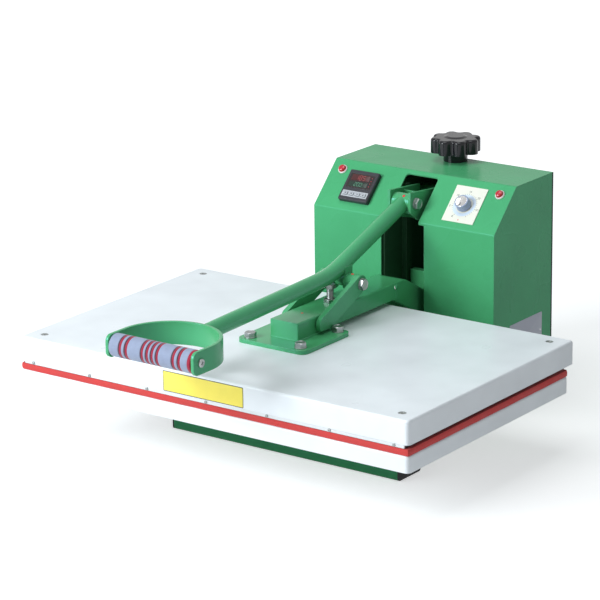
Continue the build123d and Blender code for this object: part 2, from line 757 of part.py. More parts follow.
# ---------------------------------------------------------------- pressure carriage and screw
carriage_cheek_outline = [
    (lever_pivot_y - carriage_front, lever_pivot_z - carriage_chin),
    (lever_pivot_y - carriage_front, lever_pivot_z + carriage_top),
    (guide_y + guide_depth + 6, lever_pivot_z + carriage_back_top),
    (guide_y + guide_depth + 6, z_block),
    (lever_pivot_y + carriage_heel_set, lever_pivot_z - carriage_heel),
]
carriage_side = side_plate(carriage_cheek_outline, carriage_inner, carriage_outer)
chin = carriage_side.edges().filter_by(Axis.X).group_by(Axis.Y)[0].sort_by(Axis.Z)[0]
carriage_side = fillet(chin, 8)
web_y = lever_pivot_y + web_set
nut_block_front = guide_y + guide_depth + 0.5
nut_block_half = cheek_inner - seat_gap
carriage = carriage_side + mirrored(carriage_side)
carriage += block(-carriage_inner, carriage_inner, web_y, web_y + web_thickness,
                  lever_pivot_z - carriage_heel + 2, lever_pivot_z + carriage_back_top)
carriage += block(-nut_block_half, nut_block_half, nut_block_front, cheek_back - seat_gap,
                  z_block, z_block_top)
carriage -= rod_x(pivot_radius + fit, -carriage_outer - 1, carriage_outer + 1, lever_pivot_y, lever_pivot_z)
carriage -= rod_z(nut_radius + fit, 0, spindle_y, z_block - 1, z_block_top + 1)
save(carriage, "pressure_carriage")

spindle_nut = rod_z(nut_radius, 0, spindle_y, z_block, z_block_top)
spindle_nut += rod_z(nut_flange, 0, spindle_y, z_block - nut_flange_height, z_block)
spindle_nut -= rod_z(spindle_radius + fit, 0, spindle_y, z_block - nut_flange_height - 1, z_block_top + 1)
save(spindle_nut, "spindle_nut")

bolt_face = carriage_outer + washer_thickness
low_face = -carriage_outer - low_head_height
lever_bolt = rod_x(pivot_radius, -carriage_outer, bolt_face, lever_pivot_y, lever_pivot_z)
lever_bolt += Pos(bolt_face, lever_pivot_y, lever_pivot_z) * Rot(0, 90, 0) * hexagon(hex_across, hex_height)
lever_bolt += rod_x(low_head_radius, low_face, -carriage_outer, lever_pivot_y, lever_pivot_z)
lever_washer = rod_x(washer_radius, carriage_outer, bolt_face, lever_pivot_y, lever_pivot_z)
lever_washer -= rod_x(pivot_radius + fit, carriage_outer, bolt_face, lever_pivot_y, lever_pivot_z)
save(group(lever_bolt, lever_washer), "lever_pivot_bolt")

hub_low = head_height + seat_gap
star_low = hub_low + hub_height
star_high = star_low + knob_height
spindle_top = star_low + knob_height / 2
spindle_low = z_block - nut_flange_height - spindle_tail
save(rod_z(spindle_radius, 0, spindle_y, spindle_low, spindle_top), "pressure_spindle")
collar_top = z_crosshead - seat_gap
collar = rod_z(collar_radius, 0, spindle_y, collar_top - collar_height, collar_top)
save(collar - rod_z(spindle_radius + fit, 0, spindle_y, spindle_low, spindle_top), "spindle_collar")

# the star's outline: round lobes joined by hollows that run smoothly into them
half_step = radians(180 / lobe_count)
hollow_set = knob_radius * cos(half_step)
hollow_set += ((lobe_radius + hollow_radius) ** 2 - (knob_radius * sin(half_step)) ** 2) ** 0.5
share = lobe_radius / (lobe_radius + hollow_radius)
meet_along = knob_radius + (hollow_set * cos(half_step) - knob_radius) * share
meet_across = hollow_set * sin(half_step) * share
meet = hypot(meet_along, meet_across)
meet_angle = atan2(meet_across, meet_along)
star_arcs = []
for i in range(lobe_count):
    lobe_angle = 2 * i * half_step
    turns = [lobe_angle - meet_angle, lobe_angle, lobe_angle + meet_angle,
             lobe_angle + half_step, lobe_angle + 2 * half_step - meet_angle]
    reaches = [meet, knob_radius + lobe_radius, meet, hollow_set - hollow_radius, meet]
    spots = [(reach * cos(turn), reach * sin(turn)) for turn, reach in zip(turns, reaches)]
    star_arcs += [ThreePointArc(*spots[:3]), ThreePointArc(*spots[2:])]
star = make_face(star_arcs)
knob = Pos(0, spindle_y, star_low) * extrude(star, knob_height)
knob = fillet(knob.faces().sort_by(Axis.Z)[-1].edges(), knob_edge)
knob += rod_z(hub_radius, 0, spindle_y, hub_low, star_low)
knob += Pos(0, spindle_y, star_high) * Cone(hub_radius, hub_radius - 5, dome_height,
                                            align=(Align.CENTER, Align.CENTER, Align.MIN))
knob -= rod_z(spindle_radius + fit, 0, spindle_y, hub_low - 1, spindle_top)
save(knob, "pressure_knob")

# ---------------------------------------------------------------- casing
casing_outline = [
    (y_head, z_skirt), (y_head, z_bend), (y_head + slope_run, head_height),
    (y_head_back, head_height), (y_head_back, z_skirt),
]
casing_drop = head_wall / cos(slope_angle)
inner_bend = z_bend + head_wall * tan(slope_angle) - casing_drop
inner_top_y = y_head + (head_height - head_wall - z_bend + casing_drop) / tan(slope_angle)
casing_room = [
    (y_head + head_wall, z_skirt - 1), (y_head + head_wall, inner_bend),
    (inner_top_y, head_height - head_wall), (y_head_back + 1, head_height - head_wall),
    (y_head_back + 1, z_skirt - 1),
]
casing = side_plate(casing_outline, -casing_half, casing_half)
bends = [(0, y_head, z_bend), (0, y_head + slope_run, head_height)]
for bend in bends:
    edge = casing.edges().filter_by(Axis.X).sort_by_distance(bend)[0]
    casing = fillet(edge, bend_outer)
casing -= side_plate(casing_room, -casing_inner, casing_inner)
back_flange = block(casing_inner - flange_width, casing_inner, y_head_back - head_wall, y_head_back,
                    z_skirt, head_height - head_wall)
casing += back_flange
casing += mirrored(back_flange)
slot_back = y_head + slot_run
casing -= rounded_block(-slot_half, slot_half, y_head - 20, slot_back, z_bend - mouth_drop - 1,
                        head_height + 5, slot_corner)
mouth_half = mouth_width / 2
mouth_top = z_bend - mouth_drop
casing -= block(-mouth_half, mouth_half, y_head - 20, y_head + head_wall + 1, mouth_sill, mouth_top)
casing -= rod_z(spindle_radius + 2, 0, spindle_y, head_height - head_wall - 1, head_height + 1)

slope = Plane((0, y_head, z_bend), x_dir=(1, 0, 0), z_dir=(0, -sin(slope_angle), cos(slope_angle)))
controller_spot = slope * Pos(controller_x, controller_up, 0)
timer_spot = slope * Pos(timer_x, timer_up, 0)
lamp_spots = [slope * Pos(x, lamp_up, 0) for x in (-lamp_x, lamp_x)]
casing -= controller_spot * Box(controller_body + 2 * hole_gap, controller_body + 2 * hole_gap, 20)
casing -= timer_spot * Box(timer_body + 2 * hole_gap, timer_body + 2 * hole_gap, 20)
for spot in lamp_spots:
    casing -= spot * Cylinder(lamp_body_radius + hole_gap, 20)
for y in side_screw_ys:
    casing -= rod_x(screw_hole, casing_inner - 1, casing_half + 1, y, side_screw_z)
    casing -= rod_x(screw_hole, -casing_half - 1, -casing_inner + 1, y, side_screw_z)
panel_screw_x = casing_inner - flange_width / 2
panel_screw_zs = [z_skirt + panel_screw_inset, (z_skirt + head_height) / 2, head_height - panel_screw_inset]
panel_screw_spots = [(x, z) for x in (-panel_screw_x, panel_screw_x) for z in panel_screw_zs]
for x, z in panel_screw_spots:
    casing -= rod_y(screw_radius + fit, x, y_head_back - head_wall - 1, y_head_back + 1, z)
save(casing, "head_casing")

panel_face = y_head_back + panel_thickness
switch_z = z_plate + switch_up
gland_z = z_plate + gland_up
panel = block(-casing_half, casing_half, y_head_back, panel_face, z_skirt, head_height)
for x, z in panel_screw_spots:
    panel -= rod_y(screw_hole, x, y_head_back - 1, panel_face + 1, z)
vent_low = switch_z + switch_height / 2 + vent_clear
vent_pitch = (head_height - vent_drop - vent_low) / (vent_count - 1)
for i in range(vent_count):
    z = vent_low + i * vent_pitch
    for x in (-vent_width, vent_width):
        panel -= block(x - vent_width / 2, x + vent_width / 2, y_head_back - 1, panel_face + 1,
                       z - vent_height / 2, z + vent_height / 2)
switch_half = switch_width / 2
panel -= block(switch_x - switch_half, switch_x + switch_half, y_head_back - 1, panel_face + 1,
               switch_z - switch_height / 2, switch_z + switch_height / 2)
panel -= rod_y(gland_radius - 2 + fit, gland_x, y_head_back - 1, panel_face + 1, gland_z)
save(panel, "head_back_panel")

casing_screws = []
for y in side_screw_ys:
    screw = rod_x(screw_radius, casing_half - screw_length, casing_half, y, side_screw_z)
    screw += rod_x(screw_head, casing_half, casing_half + screw_head_height, y, side_screw_z)
    casing_screws += [screw, mirrored(screw)]
for x, z in panel_screw_spots:
    screw = rod_y(screw_radius, x, panel_face - screw_length, panel_face, z)
    casing_screws.append(screw + rod_y(screw_head, x, panel_face, panel_face + screw_head_height, z))
save(group(*casing_screws), "casing_screws")

# ---------------------------------------------------------------- controller
upright = (Align.CENTER, Align.CENTER, Align.MIN)
hanging = (Align.CENTER, Align.CENTER, Align.MAX)
button_xs = [(i - 1.5) * button_pitch for i in range(4)]
button_names = ["button_set", "button_shift", "button_down", "button_up"]
bezel = Box(controller_size, controller_size, controller_face, align=upright)
bezel = fillet(bezel.edges().filter_by(Axis.Z), 2)
bezel = chamfer(bezel.faces().sort_by(Axis.Z)[-1].edges(), 1.2)
window_floor = controller_face - window_thickness
bezel -= Pos(0, window_up, window_floor) * Box(window_width + 2 * fit, window_height + 2 * fit, 3, align=upright)
button_floor = controller_face + button_proud - button_length
for x in button_xs:
    bezel -= Pos(x, -button_down, button_floor - button_travel - 0.4) * Box(
        button_width + 2 * seat_gap, button_height + 2 * seat_gap, 20, align=upright)
case = bezel + Box(controller_body, controller_body, controller_length, align=hanging)
save(controller_spot * case, "controller_case")
window = Pos(0, window_up, window_floor) * Box(window_width, window_height, window_thickness, align=upright)
save(controller_spot * window, "controller_window")
for x, name in zip(button_xs, button_names):
    cap = Pos(x, -button_down, button_floor) * Box(button_width, button_height, button_length, align=upright)
    cap = fillet(cap.faces().sort_by(Axis.Z)[-1].edges(), 0.6)
    save(controller_spot * cap, "controller_" + name)

# ---------------------------------------------------------------- timer and lamps
scale_plate = Box(timer_plate_width, timer_plate_height, timer_plate_thickness, align=upright)
scale_plate -= Cylinder(timer_shaft_radius + 1, 10)
save(timer_spot * scale_plate, "timer_scale_plate")
timer_case = Box(timer_body, timer_body, timer_body_length, align=hanging)
timer_case -= Cylinder(timer_shaft_radius + fit, 12, align=hanging)
save(timer_spot * timer_case, "timer_body")
timer_knob = Cylinder(timer_knob_radius, timer_knob_height, align=upright)
timer_knob = fillet(timer_knob.faces().sort_by(Axis.Z)[-1].edges(), 1.5)
timer_knob = Pos(0, 0, timer_plate_thickness + seat_gap) * timer_knob
timer_knob -= Pos(0, timer_knob_radius - 3, timer_plate_thickness + timer_knob_height) * Box(1.6, 8, 1.6)
timer_knob += Pos(0, 0, -8) * Cylinder(timer_shaft_radius, 8 + timer_plate_thickness + 2, align=upright)
save(timer_spot * timer_knob, "timer_knob")

lamp_bezel = Cylinder(lamp_bezel_radius, lamp_bezel_height, align=upright)
lamp_bezel += Cylinder(lamp_body_radius, lamp_body_length, align=hanging)
lamp_bezel -= Cylinder(lamp_lens_radius + fit, lamp_bezel_height + 1, align=upright)
lamp_lens = Cylinder(lamp_lens_radius, lamp_bezel_height + lamp_lens_height, align=upright)
lamp_lens = fillet(lamp_lens.faces().sort_by(Axis.Z)[-1].edges(), 2.5)
save(group(*[spot * lamp_bezel for spot in lamp_spots]), "pilot_lamp_bezels")
save(group(*[spot * lamp_lens for spot in lamp_spots]), "pilot_lamp_lenses")

# ---------------------------------------------------------------- switch and gland
rim = switch_half + switch_rim
rim_height = switch_height / 2 + switch_rim
frame = block(switch_x - rim, switch_x + rim, panel_face, panel_face + switch_proud,
              switch_z - rim_height, switch_z + rim_height)
body_half = switch_half - fit
body_height = switch_height / 2 - fit
frame += block(switch_x - body_half, switch_x + body_half, panel_face - switch_depth, panel_face,
               switch_z - body_height, switch_z + body_height)
well_half = switch_half - 2
well_height = switch_height / 2 - 2
frame -= block(switch_x - well_half, switch_x + well_half, panel_face - 9, panel_face + 5,
               switch_z - well_height, switch_z + well_height)
save(frame, "power_switch_frame")
rocker_half = well_half - seat_gap
rocker_height = well_height - 2.2
rocker_y = panel_face - 1
rocker = block(switch_x - rocker_half, switch_x + rocker_half, rocker_y - 2.5, rocker_y + 5,
               switch_z - rocker_height, switch_z + rocker_height)
rocker -= rod_x(rocker_curve, switch_x - rim, switch_x + rim, rocker_y + 3.4 + rocker_curve, switch_z)
rocker = Pos(0, rocker_y, switch_z) * Rot(-rocker_travel, 0, 0) * Pos(0, -rocker_y, -switch_z) * rocker
save(rocker, "power_rocker")

gland = rod_y(gland_radius - 2, gland_x, y_head_back - 9, panel_face, gland_z)
gland += Pos(gland_x, panel_face, gland_z) * Rot(-90, 0, 0) * hexagon(2 * gland_radius, 5)
gland += rod_y(gland_radius - 1, gland_x, panel_face + 5, panel_face + gland_proud, gland_z)
gland -= rod_y(gland_bore, gland_x, y_head_back - 20, panel_face + gland_proud + 1, gland_z)
gland_nut_ring = Pos(gland_x, y_head_back - 5, gland_z) * Rot(-90, 0, 0) * hexagon(2 * gland_nut, 5)
gland_nut_ring -= rod_y(gland_radius - 2 + fit, gland_x, y_head_back - 6, y_head_back + 1, gland_z)
save(group(gland, gland_nut_ring), "cable_gland")

# ---------------------------------------------------------------- relay, heat sink, terminals
middle_y = (y_head + y_head_back) / 2
sink_half = sink_width / 2
sink = block(sink_x - sink_half, sink_x + sink_half, middle_y - sink_length / 2, middle_y + sink_length / 2,
             z_plate + sink_height - sink_plate, z_plate + sink_height)
fin_step = (sink_width - sink_fin) / (sink_fins - 1)
for i in range(sink_fins):
    x = sink_x - sink_half + i * fin_step
    sink += block(x, x + sink_fin, middle_y - sink_length / 2, middle_y + sink_length / 2,
                  z_plate, z_plate + sink_height - sink_plate)
save(sink, "relay_heat_sink")
z_sink = z_plate + sink_height
save(block(sink_x - relay_width / 2, sink_x + relay_width / 2, middle_y - relay_length / 2,
           middle_y + relay_length / 2, z_sink, z_sink + relay_height), "solid_state_relay")
terminal_half = terminal_width / 2
terminals = block(terminal_x - terminal_half, terminal_x + terminal_half, middle_y - terminal_length / 2,
                  middle_y + terminal_length / 2, z_plate, z_plate + terminal_height)
way = terminal_width / terminal_ways
for i in range(terminal_ways):
    x = terminal_x - terminal_half + (i + 0.5) * way
    terminals -= rod_z(way / 2 - 1.5, x, middle_y, z_plate + terminal_height - 8, z_plate + terminal_height + 1)
save(terminals, "terminal_block")
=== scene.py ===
"""Looks of a clamshell dry mounting press, built round its packed construction model.

Lengths are in metres. +X is to the right seen from the handle, +Y runs back to the control head and
+Z is up. Every new piece is a loft: a stack of closed rings that numpy works out as whole arrays,
skinned with quads and closed at both ends. A piece's place is in its mesh, and its object stays at
the origin.
"""

import logging
import math
from dataclasses import dataclass, field
from enum import Enum
from functools import partial
from typing import Callable, Iterable, Sequence

import bmesh
import bpy
import numpy as np
from mathutils import Matrix, Vector


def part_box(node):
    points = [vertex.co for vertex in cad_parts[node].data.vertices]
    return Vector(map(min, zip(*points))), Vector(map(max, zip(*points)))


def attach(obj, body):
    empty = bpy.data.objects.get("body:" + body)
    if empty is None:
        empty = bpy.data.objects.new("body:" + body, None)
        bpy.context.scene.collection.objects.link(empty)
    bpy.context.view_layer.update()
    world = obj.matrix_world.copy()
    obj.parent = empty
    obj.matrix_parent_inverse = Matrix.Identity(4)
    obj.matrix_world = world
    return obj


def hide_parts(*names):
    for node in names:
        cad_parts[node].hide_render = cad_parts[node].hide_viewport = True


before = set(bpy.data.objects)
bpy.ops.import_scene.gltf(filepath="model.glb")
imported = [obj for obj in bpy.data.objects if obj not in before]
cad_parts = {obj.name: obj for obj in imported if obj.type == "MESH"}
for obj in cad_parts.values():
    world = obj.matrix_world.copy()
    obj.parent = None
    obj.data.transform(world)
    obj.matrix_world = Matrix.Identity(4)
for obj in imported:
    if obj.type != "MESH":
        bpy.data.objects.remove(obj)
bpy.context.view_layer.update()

LOG = logging.getLogger("press")
Array = np.ndarray
Shell = tuple[Array, Array]
Colour = tuple[float, float, float]
Point = tuple[float, float, float]
Socket = bpy.types.NodeSocket
MM = 0.001

RIGHT: Point = (1.0, 0.0, 0.0)
LEFT: Point = (-1.0, 0.0, 0.0)
BACK: Point = (0.0, 1.0, 0.0)
FRONT: Point = (0.0, -1.0, 0.0)
UPWARD: Point = (0.0, 0.0, 1.0)

# Sizes shared by the hexagonal bolts: washer, head across its flats, thread, and the low head opposite.
WASHER_RADIUS = 0.0082
WASHER_THICKNESS = 0.0015
BOLT_ACROSS = 0.014
THREAD_RADIUS = 0.005
THREAD_PITCH = 0.0015
LOW_HEAD_RADIUS = 0.0075

INK_THICKNESS = 0.00006


class Body(Enum):
    """Bodies of the construction model that new pieces ride on."""

    STAND = "stand"
    PLATEN = "upper_platen"
    LEVER = "lever"
    LINKS = "links"
    CARRIAGE = "carriage"
    TIMER = "timer_dial"
    SET = "button_set"
    SHIFT = "button_shift"
    DOWN = "button_down"
    UP = "button_up"


class Slot(Enum):
    """Material slots of the record, which new pieces name."""

    GREEN = "green_enamel"
    ZINC = "zinc_steel"
    BRIGHT = "bright_steel"
    SILICONE = "red_silicone"
    FOAM = "grip_foam"
    BLACK = "black_plastic"
    GREY_PLASTIC = "grey_plastic"
    PLATE = "plate_paint"
    LENS = "red_lens"
    WINDOW = "window"


# ------------------------------------------------------------------------------ surfaces


def unit(vector: Array) -> Array:
    """Scales vectors along the last axis to length one.

    Args:
        vector: Array whose last axis holds the components.

    Returns:
        An array of the same shape.
    """
    return vector / np.linalg.norm(vector, axis=-1, keepdims=True)


def circle(radius: float, count: int = 48) -> Array:
    """A closed ring in two coordinates: radius times (cos t, sin t), t in equal steps round a turn."""
    turn = np.linspace(0.0, 2 * math.pi, count, endpoint=False)
    return radius * np.stack([np.cos(turn), np.sin(turn)], axis=1)


def rounded_rectangle(width: float, depth: float, corner: float, steps: int = 6) -> Array:
    """A closed ring of a rectangle with round corners, about its middle.

    Each corner is a quarter turn of radius corner about the point that lies that far in from both
    sides, and the four quarters follow each other anticlockwise.

    Args:
        width: Size along the first coordinate.
        depth: Size along the second coordinate.
        corner: Corner radius, at most half of either size.
        steps: Segments in a quarter turn.

    Returns:
        An array of 4 * (steps + 1) points.
    """
    quarter = np.arange(4)[:, None] * math.pi / 2
    turn = quarter + np.linspace(0.0, math.pi / 2, steps + 1)[None, :]
    sign = np.stack([np.sign(np.cos(quarter + math.pi / 4)), np.sign(np.sin(quarter + math.pi / 4))], axis=-1)
    centre = sign * np.array([width / 2 - corner, depth / 2 - corner])
    arc = corner * np.stack([np.cos(turn), np.sin(turn)], axis=-1)
    return (centre + arc).reshape(-1, 2)


def roll(radius: float, steps: int = 5) -> Array:
    """A quarter-round edge as (inset, drop) pairs: r(1 - cos t) and r(1 - sin t), t to a right angle."""
    turn = np.linspace(0.0, math.pi / 2, steps + 1)
    return radius * np.stack([1 - np.cos(turn), 1 - np.sin(turn)], axis=1)


@dataclass(frozen=True)
class Axes:
    """A place and three directions that carry two-coordinate shapes into space."""

    origin: Point
    along: Point
    across: Point

    def frame(self) -> tuple[Array, Array, Array, Array]:
        """Works the directions out.

        Returns:
            Origin, first section direction, second section direction and the direction along.
        """
        along = unit(np.array(self.along, float))
        across = np.array(self.across, float)
        first = unit(across - along * float(across @ along))
        return np.array(self.origin, float), first, np.cross(along, first), along

    def lift(self, rings: Array, heights: Array) -> Array:
        """Carries sections to space: origin + u * first + v * second + height * along.

        Args:
            rings: Sections, shaped (rings, points, 2).
            heights: Distance along for each ring, shaped (rings,) or (rings, points).

        Returns:
            Points shaped (rings, points, 3).
        """
        origin, first, second, along = self.frame()
        rise = np.asarray(heights, float)
        rise = rise[:, None] if rise.ndim == 1 else rise
        rise = np.broadcast_to(rise, rings.shape[:2])
        return origin + rings[..., :1] * first + rings[..., 1:] * second + rise[..., None] * along


def loft(rings: Array, wrap: bool = False) -> Shell:
    """Skins closed rings with quads and closes both ends.

    Ring i and ring i + 1 are joined point by point. Each end ring is drawn in to its mean point, which
    makes a closed cap, unless the last ring runs on into the first.

    Args:
        rings: Points shaped (rings, points, 3).
        wrap: True joins the last ring to the first, as on a tube or a torus.

    Returns:
        Vertices (n, 3) and quads (m, 4).
    """
    stack = rings
    if not wrap:
        first = np.broadcast_to(rings[:1].mean(axis=1, keepdims=True), rings[:1].shape)
        last = np.broadcast_to(rings[-1:].mean(axis=1, keepdims=True), rings[-1:].shape)
        stack = np.concatenate([first, rings, last], axis=0)
    rows, columns = stack.shape[:2]
    row, column = np.meshgrid(np.arange(rows if wrap else rows - 1), np.arange(columns), indexing="ij")
    below, following = (row + 1) % rows, (column + 1) % columns
    quads = np.stack(
        [
            row * columns + column,
            row * columns + following,
            below * columns + following,
            below * columns + column,
        ],
        axis=-1,
    )
    return stack.reshape(-1, 3), quads.reshape(-1, 4)


def solid_of_turn(profile: Array, axes: Axes, count: int = 48, wrap: bool = False) -> Shell:
    """A solid of revolution: every profile point (height, radius) sweeps a circle round the axis.

    Args:
        profile: Array of (height, radius) pairs from one end to the other.
        axes: The axis, as its along direction.
        count: Segments round the axis.
        wrap: True for a closed profile, which makes a hollow ring.

    Returns:
        Vertices and quads.
    """
    rings = profile[:, 1][:, None, None] * circle(1.0, count)[None]
    return loft(axes.lift(rings, profile[:, 0]), wrap)


def slab(
    outline: Callable[[float], Array], edge: Array, height: float, axes: Axes, foot: Array | None = None
) -> Shell:
    """A plate whose outline is drawn in by the edge profile near its top and its foot.

    Args:
        outline: Gives the closed outline for an inset.
        edge: (inset, drop) pairs of the top edge, from the side to the face.
        height: Thickness along the axes' third direction.
        axes: Where the plate's middle lies, on its lower face.
        foot: The same pairs for the lower edge, or none for a sharp one.

    Returns:
        Vertices and quads.
    """
    lower = np.zeros((1, 2)) if foot is None else foot[::-1]
    rings = [outline(float(inset)) for inset in lower[:, 0]] + [outline(float(inset)) for inset in edge[:, 0]]
    heights = np.concatenate([lower[:, 1], height - edge[:, 1]])
    return loft(axes.lift(np.stack(rings), heights))


def path_frames(path: Array, up: Point = (0.0, 0.0, 1.0)) -> tuple[Array, Array, Array]:
    """Directions along a path that keep to one upright.

    The tangent is the central difference of the points. The side direction is the tangent crossed
    with the upright, and the third direction completes them.

    Args:
        path: Points shaped (n, 3), nowhere along the upright.
        up: The upright.

    Returns:
        Tangents, sides and ups, each shaped (n, 3).
    """
    tangent = unit(np.gradient(path, axis=0))
    side = unit(np.cross(tangent, np.array(up)))
    return tangent, side, np.cross(side, tangent)


def filleted(corners: Sequence[tuple[float, float]], radius: float, steps: int = 24) -> Array:
    """A polyline whose inner corners are replaced with tangent arcs of one radius.

    Each arc starts r * tan(turn / 2) before its corner. Its points are the arc centre plus the radius
    turned evenly from the first tangent point to the last.

    Args:
        corners: Points in two coordinates.
        radius: Arc radius.
        steps: Segments in an arc.

    Returns:
        Points shaped (n, 2).
    """
    pts = np.array(corners, float)
    out = [pts[:1]]
    for before, corner, after in zip(pts[:-2], pts[1:-1], pts[2:]):
        inward, outward = unit(corner - before), unit(after - corner)
        turn = math.atan2(inward[0] * outward[1] - inward[1] * outward[0], float(inward @ outward))
        start = corner - inward * radius * math.tan(abs(turn) / 2)
        normal = np.array([-inward[1], inward[0]]) * math.copysign(1.0, turn)
        centre = start + normal * radius
        sweep = np.linspace(0.0, turn, steps + 1)
        arm = start - centre
        cos, sin = np.cos(sweep), np.sin(sweep)
        arc = np.stack([arm[0] * cos - arm[1] * sin, arm[0] * sin + arm[1] * cos], axis=1)
        out.append(centre + arc)
    out.append(pts[-1:])
    return np.concatenate(out)


def spaced(points: Array, step: float, closed: bool = False) -> Array:
    """Points at equal steps along a line, interpolated over the length run.

    Args:
        points: Points in two or three coordinates.
        step: Distance between the new points.
        closed: True for a ring, whose last point runs on to its first.

    Returns:
        Points in as many coordinates.
    """
    line = np.concatenate([points, points[:1]]) if closed else points
    run = np.concatenate([[0.0], np.cumsum(np.linalg.norm(np.diff(line, axis=0), axis=1))])
    count = max(2, int(run[-1] / step))
    where = np.linspace(0.0, run[-1], count, endpoint=not closed)
    return np.stack([np.interp(where, run, line[:, i]) for i in range(line.shape[1])], axis=1)


def prism(outline: Array, height: float, axes: Axes) -> Shell:
    """A convex outline carried straight along the axes' third direction."""
    return loft(axes.lift(np.stack([outline, outline]), np.array([0.0, height])))


def film(
    width: float, height: float, corner: float, thickness: float, axes: Axes, edge: float = 0.0001
) -> Shell:
    """A thin plate with round corners and a quarter-round top edge."""
    def outline(inset: float) -> Array:
        """The film's outline, drawn in by an inset."""
        return rounded_rectangle(width - 2 * inset, height - 2 * inset, corner - inset)

    return slab(outline, roll(edge, 3), thickness, axes)


def hexagonal_head(across: float, height: float, axes: Axes, count: int = 72) -> Shell:
    """A hexagonal head whose corners are turned off at thirty degrees, with a slight dish on top.

    The wall stands at across / 2 over the cosine of the angle from the nearest flat's middle. The cone
    stands at its land plus the drop over the tangent of thirty degrees. Each ring keeps the nearer one.

    Args:
        across: Size across the flats.
        height: Height of the head.
        axes: The bolt's axis, from the seat outwards.
        count: Points in a ring.

    Returns:
        Vertices and quads.
    """
    turn = np.linspace(0.0, 2 * math.pi, count, endpoint=False)
    wall = across / 2 / np.cos((turn + math.pi / 6) % (math.pi / 3) - math.pi / 6)
    land, fall = 0.475 * across, math.tan(math.radians(30))
    heights = np.concatenate([[0.0], height - (wall.max() - land) * fall * np.linspace(1.0, 0.0, 9)])
    radii = np.minimum(wall[None], land + (height - heights[:, None]) / fall)
    dish = np.broadcast_to(np.array([[0.84 * land], [0.78 * land]]), (2, count))
    radii = np.concatenate([radii, dish])
    heights = np.concatenate([heights, [height, height - 0.025 * across]])
    return loft(axes.lift(radii[..., None] * circle(1.0, count)[None], heights))


class Recess(Enum):
    """Drive recesses of screws."""

    CROSS = "cross"
    SOCKET = "socket"


def driven_screw(side: Array, crown: float, recess: Recess, axes: Axes, count: int = 48) -> Shell:
    """A screw with a drive recess in its face.

    The face rises by crown * (1 - (r / rim)^2). A cross is where the smaller of |x| and |y| is under
    0.15 rim and the larger under 0.6 rim. A socket is where |x| and |x| / 2 + 0.866 |y| are under
    0.42 rim. Both sink 0.4 rim deep over a short ramp.

    Args:
        side: (height, radius) pairs from the tip to the rim of the face.
        crown: Height of the face's middle above its rim.
        recess: The kind of recess.
        axes: The screw's axis, outwards.
        count: Points in a ring.

    Returns:
        Vertices and quads.
    """
    rim_height, rim = side[-1]
    reach = rim * np.linspace(0.94, 0.03, 16)
    spokes = circle(1.0, count)
    across, up = (np.abs(reach[:, None] * spokes[None, :, i]) for i in range(2))
    if recess is Recess.CROSS:
        inside = np.minimum(0.15 * rim - np.minimum(across, up), 0.6 * rim - np.maximum(across, up))
    else:
        inside = 0.42 * rim - np.maximum(across, across / 2 + 0.866 * up)
    face = rim_height + crown * (1 - (reach / rim) ** 2)
    heights = np.concatenate(
        [
            np.broadcast_to(side[:, :1], (len(side), count)),
            face[:, None] - 0.4 * rim * np.clip(inside / (0.05 * rim), 0.0, 1.0),
        ]
    )
    radii = np.concatenate([side[:, 1], reach])
    return loft(axes.lift(radii[:, None, None] * spokes[None], heights))


def washer(radius: float, thickness: float, axes: Axes) -> Shell:
    """A flat washer under a head, with its rims broken by a tenth of a millimetre."""
    soft = 0.0001
    side = [(0.0, radius - soft), (soft, radius), (thickness - soft, radius), (thickness, radius - soft)]
    return solid_of_turn(np.array(side), axes, 56)


def pan_side(radius: float, band: float, height: float, length: float, shank: float = 0.0012) -> Array:
    """Profile of a pan screw up to the rim of its face.

    The shank runs from -length, the head's wall stands up to band, and a quarter ellipse leads from
    there to 0.8 of the radius at the height.

    Args:
        radius: Radius of the head.
        band: Height of the straight wall.
        height: Height of the face's rim.
        length: Length of the shank.
        shank: Radius of the shank.

    Returns:
        (height, radius) pairs for driven_screw.
    """
    turn = np.linspace(0.0, math.pi / 2, 7)
    dome = np.stack([band + (height - band) * np.sin(turn), radius * (0.8 + 0.2 * np.cos(turn))], axis=1)
    return np.concatenate([[(-length, shank), (0.0, shank), (0.0, radius)], dome])


def low_head(radius: float, height: float) -> Array:
    """Profile of a low round head: r cos t against h (0.35 + 0.65 sin t), t up to nearly a right angle."""
    turn = np.linspace(0.0, math.pi / 2 * 0.97, 9)
    dome = np.stack([height * (0.35 + 0.65 * np.sin(turn)), radius * np.cos(turn)], axis=1)
    return np.concatenate([[(0.0, radius)], dome])


def pivot_ends(
    half: float, pivot: tuple[float, float], turn: Point, tips: tuple[float, float], gap: float = 0.0
) -> list[Shell]:
    """A cross bolt's ends: washer and hexagonal head on the right, a low round head on the left.

    Args:
        half: Half the width of what the bolt holds.
        pivot: The bolt's place to the back and up.
        turn: Where the hexagon's flat looks.
        tips: The lowest and the highest place that the ends reach.
        gap: Air under the washer and the low head.

    Returns:
        The three shells.
    """
    right = Axes((half + gap, *pivot), RIGHT, BACK)
    head = Axes((half + WASHER_THICKNESS, *pivot), RIGHT, turn)
    left = Axes((-half - gap, *pivot), LEFT, BACK)
    return [
        washer(WASHER_RADIUS, WASHER_THICKNESS - gap, right),
        hexagonal_head(BOLT_ACROSS, tips[1] - half - WASHER_THICKNESS, head),
        solid_of_turn(low_head(LOW_HEAD_RADIUS, -half - gap - tips[0]), left),
    ]


def dot(radius: float, axes: Axes, height: float = 0.0003) -> Shell:
    """A small drop: radius cos t at height sin t."""
    turn = np.linspace(0.0, math.pi / 2 * 0.95, 6)
    return solid_of_turn(np.stack([height * np.sin(turn), radius * np.cos(turn)], axis=1), axes, 32)


